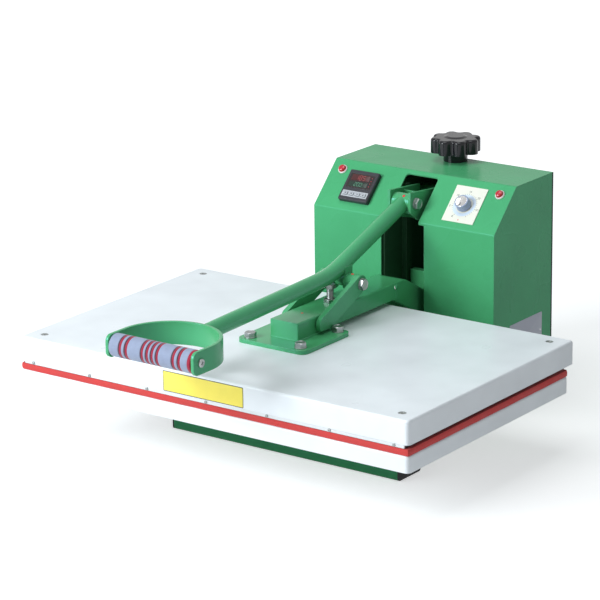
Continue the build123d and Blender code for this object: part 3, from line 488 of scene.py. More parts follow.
def threaded_rod(radius: float, pitch: float, low: float, high: float, axes: Axes, count: int = 36) -> Shell:
    """A screw thread: radius less 0.55 pitch * |2 frac(height / pitch - turn) - 1|, turn 0 to 1 round."""
    heights = np.linspace(low, high, int((high - low) / pitch * 6) + 1)
    turn = np.linspace(0.0, 1.0, count, endpoint=False)
    phase = (heights[:, None] / pitch - turn[None]) % 1.0
    radii = radius - 0.55 * pitch * np.abs(2 * phase - 1)
    return loft(axes.lift(radii[..., None] * circle(1.0, count)[None], heights))


def weld_bead(path: Array, radius: float, ripple: float = 0.0024, up: Point = (0.0, 0.0, 1.0)) -> Shell:
    """A bead along a level or sloping path.

    Its radius is 0.88 + 0.12 |sin(pi s / ripple)| of the full one at the run s, and falls
    to a tenth of that at both ends, as a square root.

    Args:
        path: Points shaped (n, 3).
        radius: Full radius.
        ripple: Length of a ripple.
        up: A direction that the path nowhere follows.

    Returns:
        Vertices and quads.
    """
    line = spaced(path, ripple / 4)
    run = np.concatenate([[0.0], np.cumsum(np.linalg.norm(np.diff(line, axis=0), axis=1))])
    _, side, rise = path_frames(line, up)
    end = np.sqrt(np.clip(np.minimum(run, run[-1] - run) / radius, 0.01, 1.0))
    swell = radius * end * (0.88 + 0.12 * np.abs(np.sin(math.pi * run / ripple)))
    ring = circle(1.0, 12)
    section = ring[None, :, :1] * side[:, None] + ring[None, :, 1:] * rise[:, None]
    rings = line[:, None] + swell[:, None, None] * section
    return loft(rings)


def ring_bead(reach: float, radius: float, axes: Axes, ripple: float = 0.0024) -> Shell:
    """A weld bead round an axis: a torus of radius reach whose section swells as in weld_bead."""
    ripples = max(8, int(2 * math.pi * reach / ripple))
    turn = np.linspace(0.0, 2 * math.pi, ripples * 4, endpoint=False)
    swell = radius * (0.88 + 0.12 * np.abs(np.sin(turn * ripples / 2)))
    section = circle(1.0, 12)
    out = reach + swell[:, None] * section[None, :, 0]
    rings = np.stack([out * np.cos(turn)[:, None], out * np.sin(turn)[:, None]], axis=-1)
    return loft(axes.lift(rings, swell[:, None] * section[None, :, 1]), wrap=True)


SEGMENTS = {
    "0": "abcdef", "1": "bc", "2": "abdeg", "3": "abcdg", "4": "bcfg",
    "5": "acdfg", "6": "acdefg", "7": "abc", "8": "abcdefg", "9": "abcdfg",
}


def display_digits(text: str, height: float, spot: Callable[[float, float], Axes]) -> list[Shell]:
    """Seven-segment digits, each segment a flat bar with pointed ends.

    A bar of half length l and half width w has the outline (l, 0), (l - w, w), (w - l, w), (-l, 0),
    (w - l, -w), (l - w, -w). A digit is 0.55 of its height wide.

    Args:
        text: The digits.
        height: Height of a digit.
        spot: Gives the axes for a place across and up from the middle of the text.

    Returns:
        The shells of all segments.
    """
    wide, bar = 0.55 * height, 0.055 * height
    places = {
        "a": (0.0, 1.0), "g": (0.0, 0.0), "d": (0.0, -1.0),
        "f": (-1.0, 0.5), "b": (1.0, 0.5), "e": (-1.0, -0.5), "c": (1.0, -0.5),
    }
    shells = []
    for index, digit in enumerate(text):
        start = (index - (len(text) - 1) / 2) * wide * 1.5
        for name in SEGMENTS[digit]:
            sign, rise = places[name]
            long = (wide if name in "adg" else height / 2) / 2 - 0.25 * bar
            tip = long - bar
            points = np.array([(long, 0), (tip, bar), (-tip, bar), (-long, 0), (-tip, -bar), (tip, -bar)])
            if name not in "adg":
                points = points[:, ::-1] * np.array([-1.0, 1.0])
            shells.append(prism(points, INK_THICKNESS, spot(start + sign * wide / 2, rise * height / 2)))
    return shells


def lettering(text: str, size: float, axes: Axes, thickness: float = INK_THICKNESS) -> Shell:
    """Solid figures: a text curve made a mesh, then carried into place as one array.

    Args:
        text: What is written.
        size: Height of the type.
        axes: Middle of the text, its surface's normal and the reading direction.
        thickness: How far the figures stand up.

    Returns:
        Vertices and triangles.
    """
    curve = bpy.data.curves.new("figures", "FONT")
    curve.body, curve.size, curve.extrude = text, size, thickness / 2
    curve.align_x, curve.align_y = "CENTER", "CENTER"
    holder = bpy.data.objects.new("figures", curve)
    mesh = bpy.data.meshes.new_from_object(holder)
    mesh.calc_loop_triangles()
    points = np.empty(len(mesh.vertices) * 3)
    mesh.vertices.foreach_get("co", points)
    faces = np.empty(len(mesh.loop_triangles) * 3, dtype=np.int64)
    mesh.loop_triangles.foreach_get("vertices", faces)
    bpy.data.objects.remove(holder)
    bpy.data.curves.remove(curve)
    bpy.data.meshes.remove(mesh)
    points = points.reshape(-1, 3)
    origin, first, second, along = axes.frame()
    rise = points[:, 2:] + thickness / 2
    placed = origin + points[:, :1] * first + points[:, 1:2] * second + rise * along
    return placed, faces.reshape(-1, 3)


def low_high(node: str) -> tuple[Array, Array]:
    """The lowest and the highest corner of a construction node, as arrays."""
    low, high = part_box(node)
    return np.array(tuple(low)), np.array(tuple(high))


def make_piece(
    name: str,
    parts: Iterable[Shell],
    finish: "Finish",
    body: Body,
    slot: Slot,
    sharp: float = 32.0,
) -> bpy.types.Object:
    """slot: The record's slot that the finish belongs to; not used.
        sharp: Angle in degrees past which an edge stays sharp.

    Returns:
        The object, at the origin.
    """
    vertices: list[Array] = []
    quads: list[Array] = []
    start = 0
    for points, faces in parts:
        vertices.append(points)
        quads.append(faces + start)
        start += len(points)
    mesh = bpy.data.meshes.new(name)
    faces = [row for shell in quads for row in shell.tolist()]
    mesh.from_pydata(np.concatenate(vertices).tolist(), [], faces)
    work = bmesh.new()
    work.from_mesh(mesh)
    bmesh.ops.remove_doubles(work, verts=work.verts, dist=2e-6)
    bmesh.ops.dissolve_degenerate(work, edges=work.edges, dist=1e-6)
    bmesh.ops.recalc_face_normals(work, faces=work.faces)
    work.to_mesh(mesh)
    work.free()
    mesh.shade_smooth()
    mesh.set_sharp_from_angle(angle=math.radians(sharp))
    mesh.materials.append(finish.material())
    piece = bpy.data.objects.new(name, mesh)
    bpy.context.scene.collection.objects.link(piece)
    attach(piece, body.value)
    LOG.info("%s: %d faces on %s", name, len(mesh.polygons), body.value)
    return piece


def mark(piece: bpy.types.Object, name: str, share: Callable[[Array], Array]) -> None:
    """Stores a number on every vertex.

    Args:
        piece: The object.
        name: Name of the attribute.
        share: Works the numbers out from the vertex positions.
    """
    mesh = piece.data
    points = np.empty(len(mesh.vertices) * 3)
    mesh.vertices.foreach_get("co", points)
    values = share(points.reshape(-1, 3)).astype(np.float32)
    mesh.attributes.new(name, "FLOAT", "POINT").data.foreach_set("value", values)


def dress(finish: "Finish", *nodes: str) -> None:
    """Gives construction nodes a finish.

    Args:
        finish: The finish.
        nodes: Names of the nodes.
    """
    for name in nodes:
        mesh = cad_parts[name].data
        mesh.materials.clear()
        mesh.materials.append(finish.material())
        LOG.info("%s dressed in %s", name, finish.name)


# ------------------------------------------------------------------------------ finishes


class Sketch:
    """A material's node tree with short calls for the nodes that the finishes share."""

    def __init__(self, name: str) -> None:
        """Starts an empty tree with its output and one Principled shader."""
        self.material = bpy.data.materials.new(name)
        self.material.use_nodes = True
        self.tree = self.material.node_tree
        self.tree.nodes.clear()
        self.output = self.node("ShaderNodeOutputMaterial")
        self.shader = self.node("ShaderNodeBsdfPrincipled")
        self.link(self.shader.outputs[0], self.output.inputs["Surface"])

    def node(self, kind: str, **settings: object) -> bpy.types.Node:
        """Adds a node and sets its properties."""
        made = self.tree.nodes.new(kind)
        for key, value in settings.items():
            setattr(made, key, value)
        return made

    def link(self, source: Socket, target: Socket) -> None:
        """Joins two sockets."""
        self.tree.links.new(source, target)

    def fixed(self, **values: object) -> None:
        """Sets constant values on the shader's own sockets, named with underscores for spaces."""
        for key, value in values.items():
            socket = self.shader.inputs[key.replace("_", " ")]
            socket.default_value = (*value, 1.0) if isinstance(value, tuple) else value

    def place(self, stretch: Point = (1.0, 1.0, 1.0), turn: Point = (0.0, 0.0, 0.0)) -> Socket:
        """Object coordinates, stretched and turned.

        Args:
            stretch: Factor along each axis.
            turn: Rotation about each axis in degrees.

        Returns:
            The coordinate socket.
        """
        where = self.node("ShaderNodeTexCoord")
        mapping = self.node("ShaderNodeMapping")
        mapping.inputs["Scale"].default_value = stretch
        mapping.inputs["Rotation"].default_value = tuple(math.radians(a) for a in turn)
        self.link(where.outputs["Object"], mapping.inputs["Vector"])
        return mapping.outputs["Vector"]

    def noise(self, where: Socket, scale: float, detail: float = 3.0, rough: float = 0.5) -> Socket:
        """Noise between 0 and 1 at so many cells a metre."""
        made = self.node("ShaderNodeTexNoise")
        self.link(where, made.inputs["Vector"])
        made.inputs["Scale"].default_value = scale
        made.inputs["Detail"].default_value = detail
        made.inputs["Roughness"].default_value = rough
        return made.outputs["Fac"]

    def cells(self, where: Socket, scale: float, feature: str = "F1") -> Socket:
        """Distance to the nearest cell centre or edge, at so many cells a metre."""
        made = self.node("ShaderNodeTexVoronoi", feature=feature)
        self.link(where, made.inputs["Vector"])
        made.inputs["Scale"].default_value = scale
        return made.outputs["Distance"]

    def span(self, value: Socket, low: float, high: float, start: float = 0.0, end: float = 1.0) -> Socket:
        """Maps the range start to end onto low to high, held at both ends."""
        made = self.node("ShaderNodeMapRange", clamp=True)
        self.link(value, made.inputs["Value"])
        made.inputs["From Min"].default_value = start
        made.inputs["From Max"].default_value = end
        made.inputs["To Min"].default_value = low
        made.inputs["To Max"].default_value = high
        return made.outputs["Result"]

    def shade(self, factor: Socket, low: Colour, high: Colour) -> Socket:
        """A colour between two, by a factor."""
        made = self.node("ShaderNodeMix", data_type="RGBA")
        self.link(factor, made.inputs[0])
        made.inputs[6].default_value = (*low, 1.0)
        made.inputs[7].default_value = (*high, 1.0)
        return made.outputs[2]

    def over(self, factor: Socket, under: Socket, colour: Colour) -> Socket:
        """A plain colour laid over another by a factor."""
        made = self.node("ShaderNodeMix", data_type="RGBA")
        self.link(factor, made.inputs[0])
        self.link(under, made.inputs[6])
        made.inputs[7].default_value = (*colour, 1.0)
        return made.outputs[2]

    def calc(self, operation: str, first: Socket, second: Socket | float) -> Socket:
        """One arithmetic step on two values."""
        made = self.node("ShaderNodeMath", operation=operation)
        self.link(first, made.inputs[0])
        if isinstance(second, float):
            made.inputs[1].default_value = second
        else:
            self.link(second, made.inputs[1])
        return made.outputs[0]

    def softened(self, radius: float) -> Socket:
        """The surface normal with its sharp edges rounded to a radius."""
        made = self.node("ShaderNodeBevel", samples=6)
        made.inputs["Radius"].default_value = radius
        return made.outputs["Normal"]

    def edges(self, radius: float) -> Socket:
        """A mask of sharp edges: 1 where rounded normal times plain normal is under 0.72, 0 over 0.99."""
        plain = self.node("ShaderNodeNewGeometry")
        dot = self.node("ShaderNodeVectorMath", operation="DOT_PRODUCT")
        self.link(self.softened(radius), dot.inputs[0])
        self.link(plain.outputs["Normal"], dot.inputs[1])
        return self.span(dot.outputs["Value"], 1.0, 0.0, 0.72, 0.99)

    def relief(self, height: Socket, depth: float, normal: Socket | None = None) -> Socket:
        """A bump of a real depth in metres, on top of another normal if one is given."""
        made = self.node("ShaderNodeBump")
        made.inputs["Strength"].default_value = 1.0
        made.inputs["Distance"].default_value = depth
        self.link(height, made.inputs["Height"])
        if normal is not None:
            self.link(normal, made.inputs["Normal"])
        return made.outputs["Normal"]

    def colour(self, source: Socket) -> None:
        """Links the base colour."""
        self.link(source, self.shader.inputs["Base Color"])

    def roughness(self, source: Socket) -> None:
        """Links the roughness."""
        self.link(source, self.shader.inputs["Roughness"])

    def normal(self, source: Socket) -> None:
        """Links the normal."""
        self.link(source, self.shader.inputs["Normal"])


def tone(red: int, green: int, blue: int) -> Colour:
    """A colour written in display values 0 to 255, as linear light."""
    display = np.array([red, green, blue], float) / 255
    linear = np.where(display <= 0.04045, display / 12.92, ((display + 0.055) / 1.055) ** 2.4)
    return float(linear[0]), float(linear[1]), float(linear[2])


def scaled(colour: Colour, factor: float) -> Colour:
    """The colour times a factor, held below one."""
    return tuple(min(1.0, channel * factor) for channel in colour)


@dataclass(frozen=True)
class Finish:
    """A named finish whose material is made once, the first time that a piece asks for it."""

    name: str
    tint: Colour

    def material(self) -> bpy.types.Material:
        """The finish's material."""
        known = bpy.data.materials.get(self.name)
        if known is not None:
            return known
        sketch = Sketch(self.name)
        self.draw(sketch)
        return sketch.material

    def draw(self, sketch: Sketch) -> None:
        """Draws the finish's nodes; each kind of finish has its own."""
        raise NotImplementedError


@dataclass(frozen=True)
class Enamel(Finish):
    """Baked enamel on sheet steel: an even coat with slight orange peel and a painted highlight on its sharp
    edges.
    """

    gloss: float = 0.32
    peel: float = 0.00002
    edge_radius: float = 0.0009
    edge_wear: float = 0.35
    specular: float = 0.4
    sheen_tint: Colour = (1.0, 1.0, 1.0)

    def draw(self, sketch: Sketch) -> None:
        """Clouds of slow noise vary the tint, fine noise is the orange peel, edges are rounded and paler as a
        painted highlight.
        """
        where = sketch.place()
        cloud = sketch.noise(where, 14.0, 2.0)
        clouded = sketch.span(cloud, 0.0, 1.0, 0.3, 0.7)
        base = sketch.shade(clouded, scaled(self.tint, 0.95), scaled(self.tint, 1.05))
        # Painted highlight: sharp edges are mixed towards a paler tint, broken up by noise patches.
        rim = sketch.calc("MULTIPLY", sketch.edges(self.edge_radius), self.edge_wear)
        patches = sketch.span(sketch.noise(where, 160.0, 5.0), 0.4, 1.0, 0.35, 0.6)
        edge_highlight_mask = sketch.calc("MULTIPLY", rim, patches)
        pale = tuple(0.55 * channel + 0.45 * 0.75 for channel in self.tint)
        sketch.colour(sketch.over(edge_highlight_mask, base, pale))
        shine = sketch.noise(where, 24.0, 1.0)
        sketch.roughness(sketch.span(shine, self.gloss - 0.03, self.gloss + 0.04, 0.2, 0.8))
        soft = sketch.softened(self.edge_radius)
        sketch.normal(sketch.relief(sketch.noise(where, 240.0, 2.0), self.peel, soft))
        sketch.fixed(Specular_IOR_Level=self.specular, Specular_Tint=self.sheen_tint)


@dataclass(frozen=True)
class BareMetal(Finish):
    """Plated or bare metal with fine tool marks along one direction."""

    rough: float = 0.28
    grain: Point = (1.0, 1.0, 1.0)
    edge_radius: float = 0.0004
    stain: float = 0.12

    def draw(self, sketch: Sketch) -> None:
        """Stretched noise makes the tool marks, slow noise clouds the plating."""
        marks = sketch.noise(sketch.place(self.grain), 900.0, 3.0, 0.7)
        cloud = sketch.noise(sketch.place(), 45.0, 4.0)
        low = scaled(self.tint, 1.0 - self.stain)
        sketch.colour(sketch.shade(sketch.span(cloud, 0.0, 1.0, 0.3, 0.7), low, self.tint))
        sketch.roughness(sketch.span(marks, self.rough - 0.1, self.rough + 0.12, 0.25, 0.75))
        sketch.normal(sketch.relief(marks, 0.00001, sketch.softened(self.edge_radius)))
        sketch.fixed(Metallic=1.0)


@dataclass(frozen=True)
class Plastic(Finish):
    """Moulded plastic with a fine spark-eroded grain."""

    rough: float = 0.4
    grain: float = 0.00001
    edge_radius: float = 0.0004
    coat: float = 0.0
    specular: float = 0.4

    def draw(self, sketch: Sketch) -> None:
        """Fine noise is the grain, slow noise varies the shine."""
        where = sketch.place()
        cloud = sketch.noise(where, 90.0, 3.0)
        sketch.colour(sketch.shade(cloud, scaled(self.tint, 0.9), scaled(self.tint, 1.1)))
        sketch.roughness(sketch.span(cloud, self.rough - 0.04, self.rough + 0.06, 0.3, 0.7))
        fine = sketch.noise(where, 2600.0, 1.0)
        sketch.normal(sketch.relief(fine, self.grain, sketch.softened(self.edge_radius)))
        sketch.fixed(Specular_IOR_Level=self.specular, Coat_Weight=self.coat, Coat_Roughness=0.04)


@dataclass(frozen=True)
class SpongeRubber(Finish):
    """Sponge rubber: open pores a fraction of a millimetre wide under a dull skin."""

    pore: float = 1400.0
    depth: float = 0.00012

    def draw(self, sketch: Sketch) -> None:
        """Cell distances give the pores, which are lower than the skin round them and darker as painted
        shade.
        """
        where = sketch.place()
        pores = sketch.cells(where, self.pore)
        skin = sketch.span(pores, 0.0, 1.0, 0.05, 0.45)
        cloud = sketch.noise(where, 30.0, 4.0)
        # Painted shade: the pores are darkened, and slow noise varies the tone.
        pore_shade_and_cloud = sketch.calc("MULTIPLY", skin, sketch.span(cloud, 0.7, 1.0, 0.3, 0.7))
        sketch.colour(sketch.shade(pore_shade_and_cloud, scaled(self.tint, 0.6), scaled(self.tint, 1.08)))
        sketch.roughness(sketch.span(cloud, 0.6, 0.8, 0.3, 0.7))
        sketch.normal(sketch.relief(skin, self.depth))
        sketch.fixed(Specular_IOR_Level=0.3, Sheen_Weight=0.15)


@dataclass(frozen=True)
class RingedFoam(Finish):
    """Foam tube with coloured rings; the mesh's own attributes say where the red rings and their painted
    shadows are.
    """

    red: Colour = (0.31, 0.003, 0.03)
    # Colour of the painted shadow beside each ring.
    dark: Colour = (0.045, 0.016, 0.032)

    def draw(self, sketch: Sketch) -> None:
        """The ring attributes choose the tint, cell distances roughen it."""
        where = sketch.place()
        cells = sketch.cells(where, 1700.0)
        cloud = sketch.noise(where, 120.0, 4.0)
        base = sketch.shade(cloud, scaled(self.tint, 0.82), scaled(self.tint, 1.15))
        red = sketch.node("ShaderNodeAttribute", attribute_name="red_ring")
        # The dark part of a ring is a painted shadow.
        dark = sketch.node("ShaderNodeAttribute", attribute_name="painted_ring_shadow")
        base = sketch.over(red.outputs["Fac"], base, self.red)
        sketch.colour(sketch.over(dark.outputs["Fac"], base, self.dark))
        sketch.roughness(sketch.span(cloud, 0.62, 0.82, 0.3, 0.7))
        sketch.normal(sketch.relief(sketch.span(cells, 0.0, 1.0, 0.0, 0.5), 0.00009))
        sketch.fixed(Specular_IOR_Level=0.35, Sheen_Weight=0.25)


@dataclass(frozen=True)
class Lens(Finish):
    """Clear coloured plastic over a small lamp."""

    glow: float = 0.25

    def draw(self, sketch: Sketch) -> None:
        """Slow noise clouds the tint; a little light comes from inside."""
        cloud = sketch.noise(sketch.place(), 400.0, 2.0)
        sketch.colour(sketch.shade(cloud, scaled(self.tint, 0.8), scaled(self.tint, 1.2)))
        sketch.fixed(Roughness=0.2, Coat_Weight=0.25, Coat_Roughness=0.05)
        sketch.fixed(Emission_Color=self.tint, Emission_Strength=self.glow)


@dataclass(frozen=True)
class Lit(Finish):
    """A lit segment of a display."""

    glow: float = 1.2

    def draw(self, sketch: Sketch) -> None:
        """Fine noise varies the glow a little, as behind a diffuser."""
        cloud = sketch.noise(sketch.place(), 900.0, 2.0)
        sketch.colour(sketch.shade(cloud, scaled(self.tint, 0.85), self.tint))
        sketch.fixed(Roughness=0.4, Emission_Color=self.tint, Emission_Strength=self.glow)


@dataclass(frozen=True)
class Printed(Finish):
    """A flat printed film or plate with a fine paper tooth."""

    rough: float = 0.35

    def draw(self, sketch: Sketch) -> None:
        """Fine noise gives the tooth, slow noise the uneven ink."""
        where = sketch.place()
        cloud = sketch.noise(where, 70.0, 4.0)
        sketch.colour(sketch.shade(cloud, scaled(self.tint, 0.95), scaled(self.tint, 1.04)))
        sketch.roughness(sketch.span(cloud, self.rough - 0.05, self.rough + 0.1, 0.3, 0.7))
        sketch.normal(sketch.relief(sketch.noise(where, 1500.0, 2.0), 0.000008))


@dataclass(frozen=True)
class Fibre(Finish):
    """A loose mineral fibre blanket."""

    def draw(self, sketch: Sketch) -> None:
        """Two stretched noises cross to make the fibres."""
        first = sketch.noise(sketch.place((1.0, 9.0, 9.0), (0.0, 0.0, 25.0)), 160.0, 4.0)
        second = sketch.noise(sketch.place((9.0, 1.0, 9.0), (0.0, 0.0, -20.0)), 160.0, 4.0)
        mat = sketch.calc("MAXIMUM", first, second)
        sketch.colour(sketch.shade(mat, scaled(self.tint, 0.6), scaled(self.tint, 1.1)))
        sketch.normal(sketch.relief(mat, 0.0006))
        sketch.fixed(Roughness=0.9, Sheen_Weight=0.4)


COLD_SHEEN: Colour = (0.35, 0.8, 1.0)


@dataclass(frozen=True)
class Finishes:
    """Every finish of the press."""

    green: Enamel = Enamel(
        "green enamel", tone(76, 163, 108), specular=0.42, gloss=0.21, sheen_tint=COLD_SHEEN
    )
    casing_green: Enamel = Enamel(
        "casing enamel", tone(76, 166, 112), specular=0.15, gloss=0.27,
        sheen_tint=COLD_SHEEN, edge_radius=0.0014,
    )
    # Painted shade: a dark green for the frame inside the head's slot, which lies in shade.
    shade_green: Enamel = Enamel("shaded enamel", tone(46, 84, 58), gloss=0.45, specular=0.2)
    white: Enamel = Enamel("white enamel", tone(236, 239, 243), gloss=0.3, edge_wear=0.0)
    zinc: BareMetal = BareMetal("bright zinc", tone(168, 172, 172), rough=0.32)
    dark_steel: BareMetal = BareMetal("oiled steel", tone(92, 94, 96), rough=0.38)
    bright: BareMetal = BareMetal("bright nickel", tone(222, 222, 222), rough=0.14, stain=0.04)
    brass: BareMetal = BareMetal("turned brass", tone(196, 166, 98), rough=0.3)
    aluminium: BareMetal = BareMetal(
        "milled aluminium", tone(198, 200, 202), rough=0.35, grain=(1.0, 12.0, 12.0)
    )
    white_metal: Enamel = Enamel("painted strip", tone(226, 228, 230), gloss=0.4, edge_wear=0.0)
    silicone: SpongeRubber = SpongeRubber("sponge silicone", tone(205, 62, 60))
    foam: RingedFoam = RingedFoam("ringed foam", tone(142, 152, 178))
    rubber: Plastic = Plastic("black rubber", tone(30, 30, 32), rough=0.65, grain=0.00003)
    knob: Plastic = Plastic(
        "polished black", tone(11, 11, 19), rough=0.14, grain=0.000002, coat=0.12, specular=0.3
    )
    dark_plastic: Plastic = Plastic("dark plastic", tone(46, 46, 52), rough=0.35)
    grey_plastic: Plastic = Plastic("grey plastic", tone(176, 178, 184), rough=0.3)
    white_plastic: Plastic = Plastic("ivory plastic", tone(226, 222, 208), rough=0.4)
    window: Plastic = Plastic("smoked window", tone(30, 18, 20), rough=0.12, grain=0.000001, coat=0.5)
    lens: Lens = Lens("red lens", tone(180, 12, 38), glow=0.06)
    cream: Printed = Printed("cream plate", tone(230, 229, 216))
    yellow: Printed = Printed("yellow film", tone(248, 228, 92))
    silver: Printed = Printed("silver film", tone(176, 178, 192), rough=0.3)
    # A dark coating on the heater platen, made dark enough to also paint the shade in the gap under the
    # cover.
    coating: Plastic = Plastic("dark coating", tone(66, 62, 64), rough=0.45)
    # Painted shade: a darker green for the feet, rails and posts that lie under the bed.
    deep_green: Enamel = Enamel("deep enamel", tone(50, 124, 76), specular=0.24, sheen_tint=COLD_SHEEN)
    knob_blue: Plastic = Plastic("pale blue plastic", tone(150, 162, 188), rough=0.3)
    ink: Printed = Printed("dark ink", tone(40, 42, 46), rough=0.45)
    red_ink: Printed = Printed("red ink", tone(214, 40, 40), rough=0.45)
    red_digits: Lit = Lit("red digits", tone(150, 62, 64), glow=0.05)
    green_digits: Lit = Lit("green digits", tone(84, 138, 112), glow=0.08)
    dim_red: Printed = Printed("dim red field", tone(70, 24, 26), rough=0.2)
    dim_green: Printed = Printed("dim green field", tone(20, 44, 34), rough=0.2)
    pale_blue: Printed = Printed("pale blue ring", tone(206, 220, 236), rough=0.3)
    rim: Plastic = Plastic("pale rim", tone(236, 222, 222), rough=0.25)
    wool: Fibre = Fibre("mineral fibre", tone(206, 198, 158))


# ------------------------------------------------------------------------------ studio


@dataclass
class Studio:
    """Pale floor, white surroundings, three soft lamps and the camera."""

    eye: Point = (2.1563, -2.9941, 1.3074)
    yaw: float = -36.1776
    pitch: float = -16.8305
    roll: float = -0.7673
    lens: float = 174.23
    floor_size: float = 16.0
    glow: float = 0.5
    sky: float = 0.25

    def camera(self) -> None:
        """Sets the camera: yaw about the vertical, then pitch, then roll about the line of sight."""
        yaw, pitch, tilt = (math.radians(a) for a in (self.yaw, self.pitch, self.roll))
        ahead = Vector((math.sin(yaw) * math.cos(pitch), math.cos(yaw) * math.cos(pitch), math.sin(pitch)))
        right = Vector((math.cos(yaw), -math.sin(yaw), 0.0))
        up = right.cross(ahead)
        right_tilted = right * math.cos(tilt) + up * math.sin(tilt)
        up_tilted = up * math.cos(tilt) - right * math.sin(tilt)
        turn = Matrix((right_tilted, up_tilted, -ahead)).transposed()
        data = bpy.data.cameras.new("camera")
        data.lens = self.lens
        data.sensor_width = 36.0
        data.clip_end = 60.0
        eye = bpy.data.objects.new("camera", data)
        eye.matrix_world = Matrix.Translation(self.eye) @ turn.to_4x4()
        bpy.context.scene.collection.objects.link(eye)
        bpy.context.scene.camera = eye

    def floor(self) -> None:
        """A wide pale plane that keeps the shadow; for the eye and mirrors it is lifted towards white."""
        half = self.floor_size / 2
        corners = np.array([(-half, -half, 0.0), (half, -half, 0.0), (half, half, 0.0), (-half, half, 0.0)])
        mesh = bpy.data.meshes.new("floor")
        mesh.from_pydata((corners - (0.0, 0.0, 0.0004)).tolist(), [], [(0, 1, 2, 3)])
        sketch = Sketch("pale floor")
        tree = sketch.tree
        tree.nodes.remove(sketch.shader)
        diffuse = sketch.node("ShaderNodeBsdfDiffuse")
        grain = sketch.noise(sketch.place(), 5.0, 2.0)
        sketch.link(sketch.shade(grain, (0.8, 0.8, 0.8), (0.82, 0.82, 0.82)), diffuse.inputs["Color"])
        glow = sketch.node("ShaderNodeEmission")
        far = sketch.node("ShaderNodeVectorMath", operation="LENGTH")
        sketch.link(sketch.place(), far.inputs[0])
        sketch.link(sketch.span(far.outputs["Value"], self.glow, 1.0, 0.7, 2.4), glow.inputs["Strength"])
        clear = sketch.node("ShaderNodeEmission")
        clear.inputs["Strength"].default_value = 0.0
        rays = sketch.node("ShaderNodeLightPath")
        seen = sketch.calc("MAXIMUM", rays.outputs["Is Camera Ray"], rays.outputs["Is Glossy Ray"])
        seen = sketch.calc("MAXIMUM", seen, rays.outputs["Is Transmission Ray"])
        pick = sketch.node("ShaderNodeMixShader")
        total = sketch.node("ShaderNodeAddShader")
        sketch.link(seen, pick.inputs[0])
        sketch.link(clear.outputs[0], pick.inputs[1])
        sketch.link(glow.outputs[0], pick.inputs[2])
        sketch.link(diffuse.outputs[0], total.inputs[0])
        sketch.link(pick.outputs[0], total.inputs[1])
        sketch.link(total.outputs[0], sketch.output.inputs["Surface"])
        mesh.materials.append(sketch.material)
        floor = bpy.data.objects.new("floor", mesh)
        bpy.context.scene.collection.objects.link(floor)

    def surroundings(self) -> None:
        """White for the eye and mirrors, and an even pale sky for diffuse light."""
        world = bpy.data.worlds.new("studio")
        bpy.context.scene.world = world
        world.use_nodes = True
        tree = world.node_tree
        tree.nodes.clear()
        output = tree.nodes.new("ShaderNodeOutputWorld")
        sky = tree.nodes.new("ShaderNodeBackground")
        sky.inputs["Color"].default_value = (0.86, 0.94, 1.0, 1.0)
        sky.inputs["Strength"].default_value = self.sky
        white = tree.nodes.new("ShaderNodeBackground")
        white.inputs["Strength"].default_value = 1.0
        rays = tree.nodes.new("ShaderNodeLightPath")
        either = tree.nodes.new("ShaderNodeMath")
        either.operation = "MAXIMUM"
        also = tree.nodes.new("ShaderNodeMath")
        also.operation = "MAXIMUM"
        pick = tree.nodes.new("ShaderNodeMixShader")
        tree.links.new(rays.outputs["Is Camera Ray"], either.inputs[0])
        tree.links.new(rays.outputs["Is Glossy Ray"], either.inputs[1])
        tree.links.new(either.outputs[0], also.inputs[0])
        tree.links.new(rays.outputs["Is Transmission Ray"], also.inputs[1])
        tree.links.new(also.outputs[0], pick.inputs[0])
        tree.links.new(sky.outputs[0], pick.inputs[1])
        tree.links.new(white.outputs[0], pick.inputs[2])
        tree.links.new(pick.outputs[0], output.inputs["Surface"])

    def lamp(self, name: str, place: Point, aim: Point, size: float, power: float, tint: Colour) -> None:
        """Adds one square area lamp.

        Args:
            name: The lamp's name.
            place: Where it hangs.
            aim: The point it faces.
            size: Its edge length.
            power: Its power in watts.
            tint: Its colour.
        """
        data = bpy.data.lights.new(name, "AREA")
        data.size = size
        data.energy = power
        data.color = tint
        made = bpy.data.objects.new(name, data)
        made.location = place
        made.rotation_euler = (Vector(aim) - Vector(place)).to_track_quat("-Z", "Y").to_euler()
        bpy.context.scene.collection.objects.link(made)

    def build(self) -> None:
        """Builds the whole studio."""
        self.camera()
        self.floor()
        self.surroundings()
        self.lamp("key", (-1.1, -2.1, 1.3), (0.0, 0.05, 0.15), 1.2, 66.0, (0.90, 0.97, 1.0))
        self.lamp("top", (-0.1, -0.3, 2.4), (0.0, 0.0, 0.1), 1.6, 22.0, (0.95, 0.99, 1.0))
        self.lamp("fill", (2.4, -0.8, 1.2), (0.0, 0.1, 0.15), 1.6, 2.0, (1.0, 0.99, 0.9))
        bpy.context.scene.view_settings.view_transform = "Standard"
        LOG.info("studio ready")


# ------------------------------------------------------------------------------ sub-assemblies


@dataclass
class Stand:
    """Feet, rails, posts and the frame inside the head."""

    finishes: Finishes

    def build(self) -> None:
        """Dresses the nodes."""
        f = self.finishes
        # The parts under the bed take a darker green as painted shade.
        dress(f.deep_green, "front_foot", "rear_foot", "base_rails", "bed_posts", "head_base_plate")
        # The frame inside the slot takes a dark green as painted shade.
        dress(f.shade_green, "frame_cheek_left", "frame_cheek_right", "crosshead_plate")
        dress(f.green, "frame_tie_plate")
        dress(f.rubber, "foot_end_caps")
        dress(f.dark_steel, "hinge_shaft")


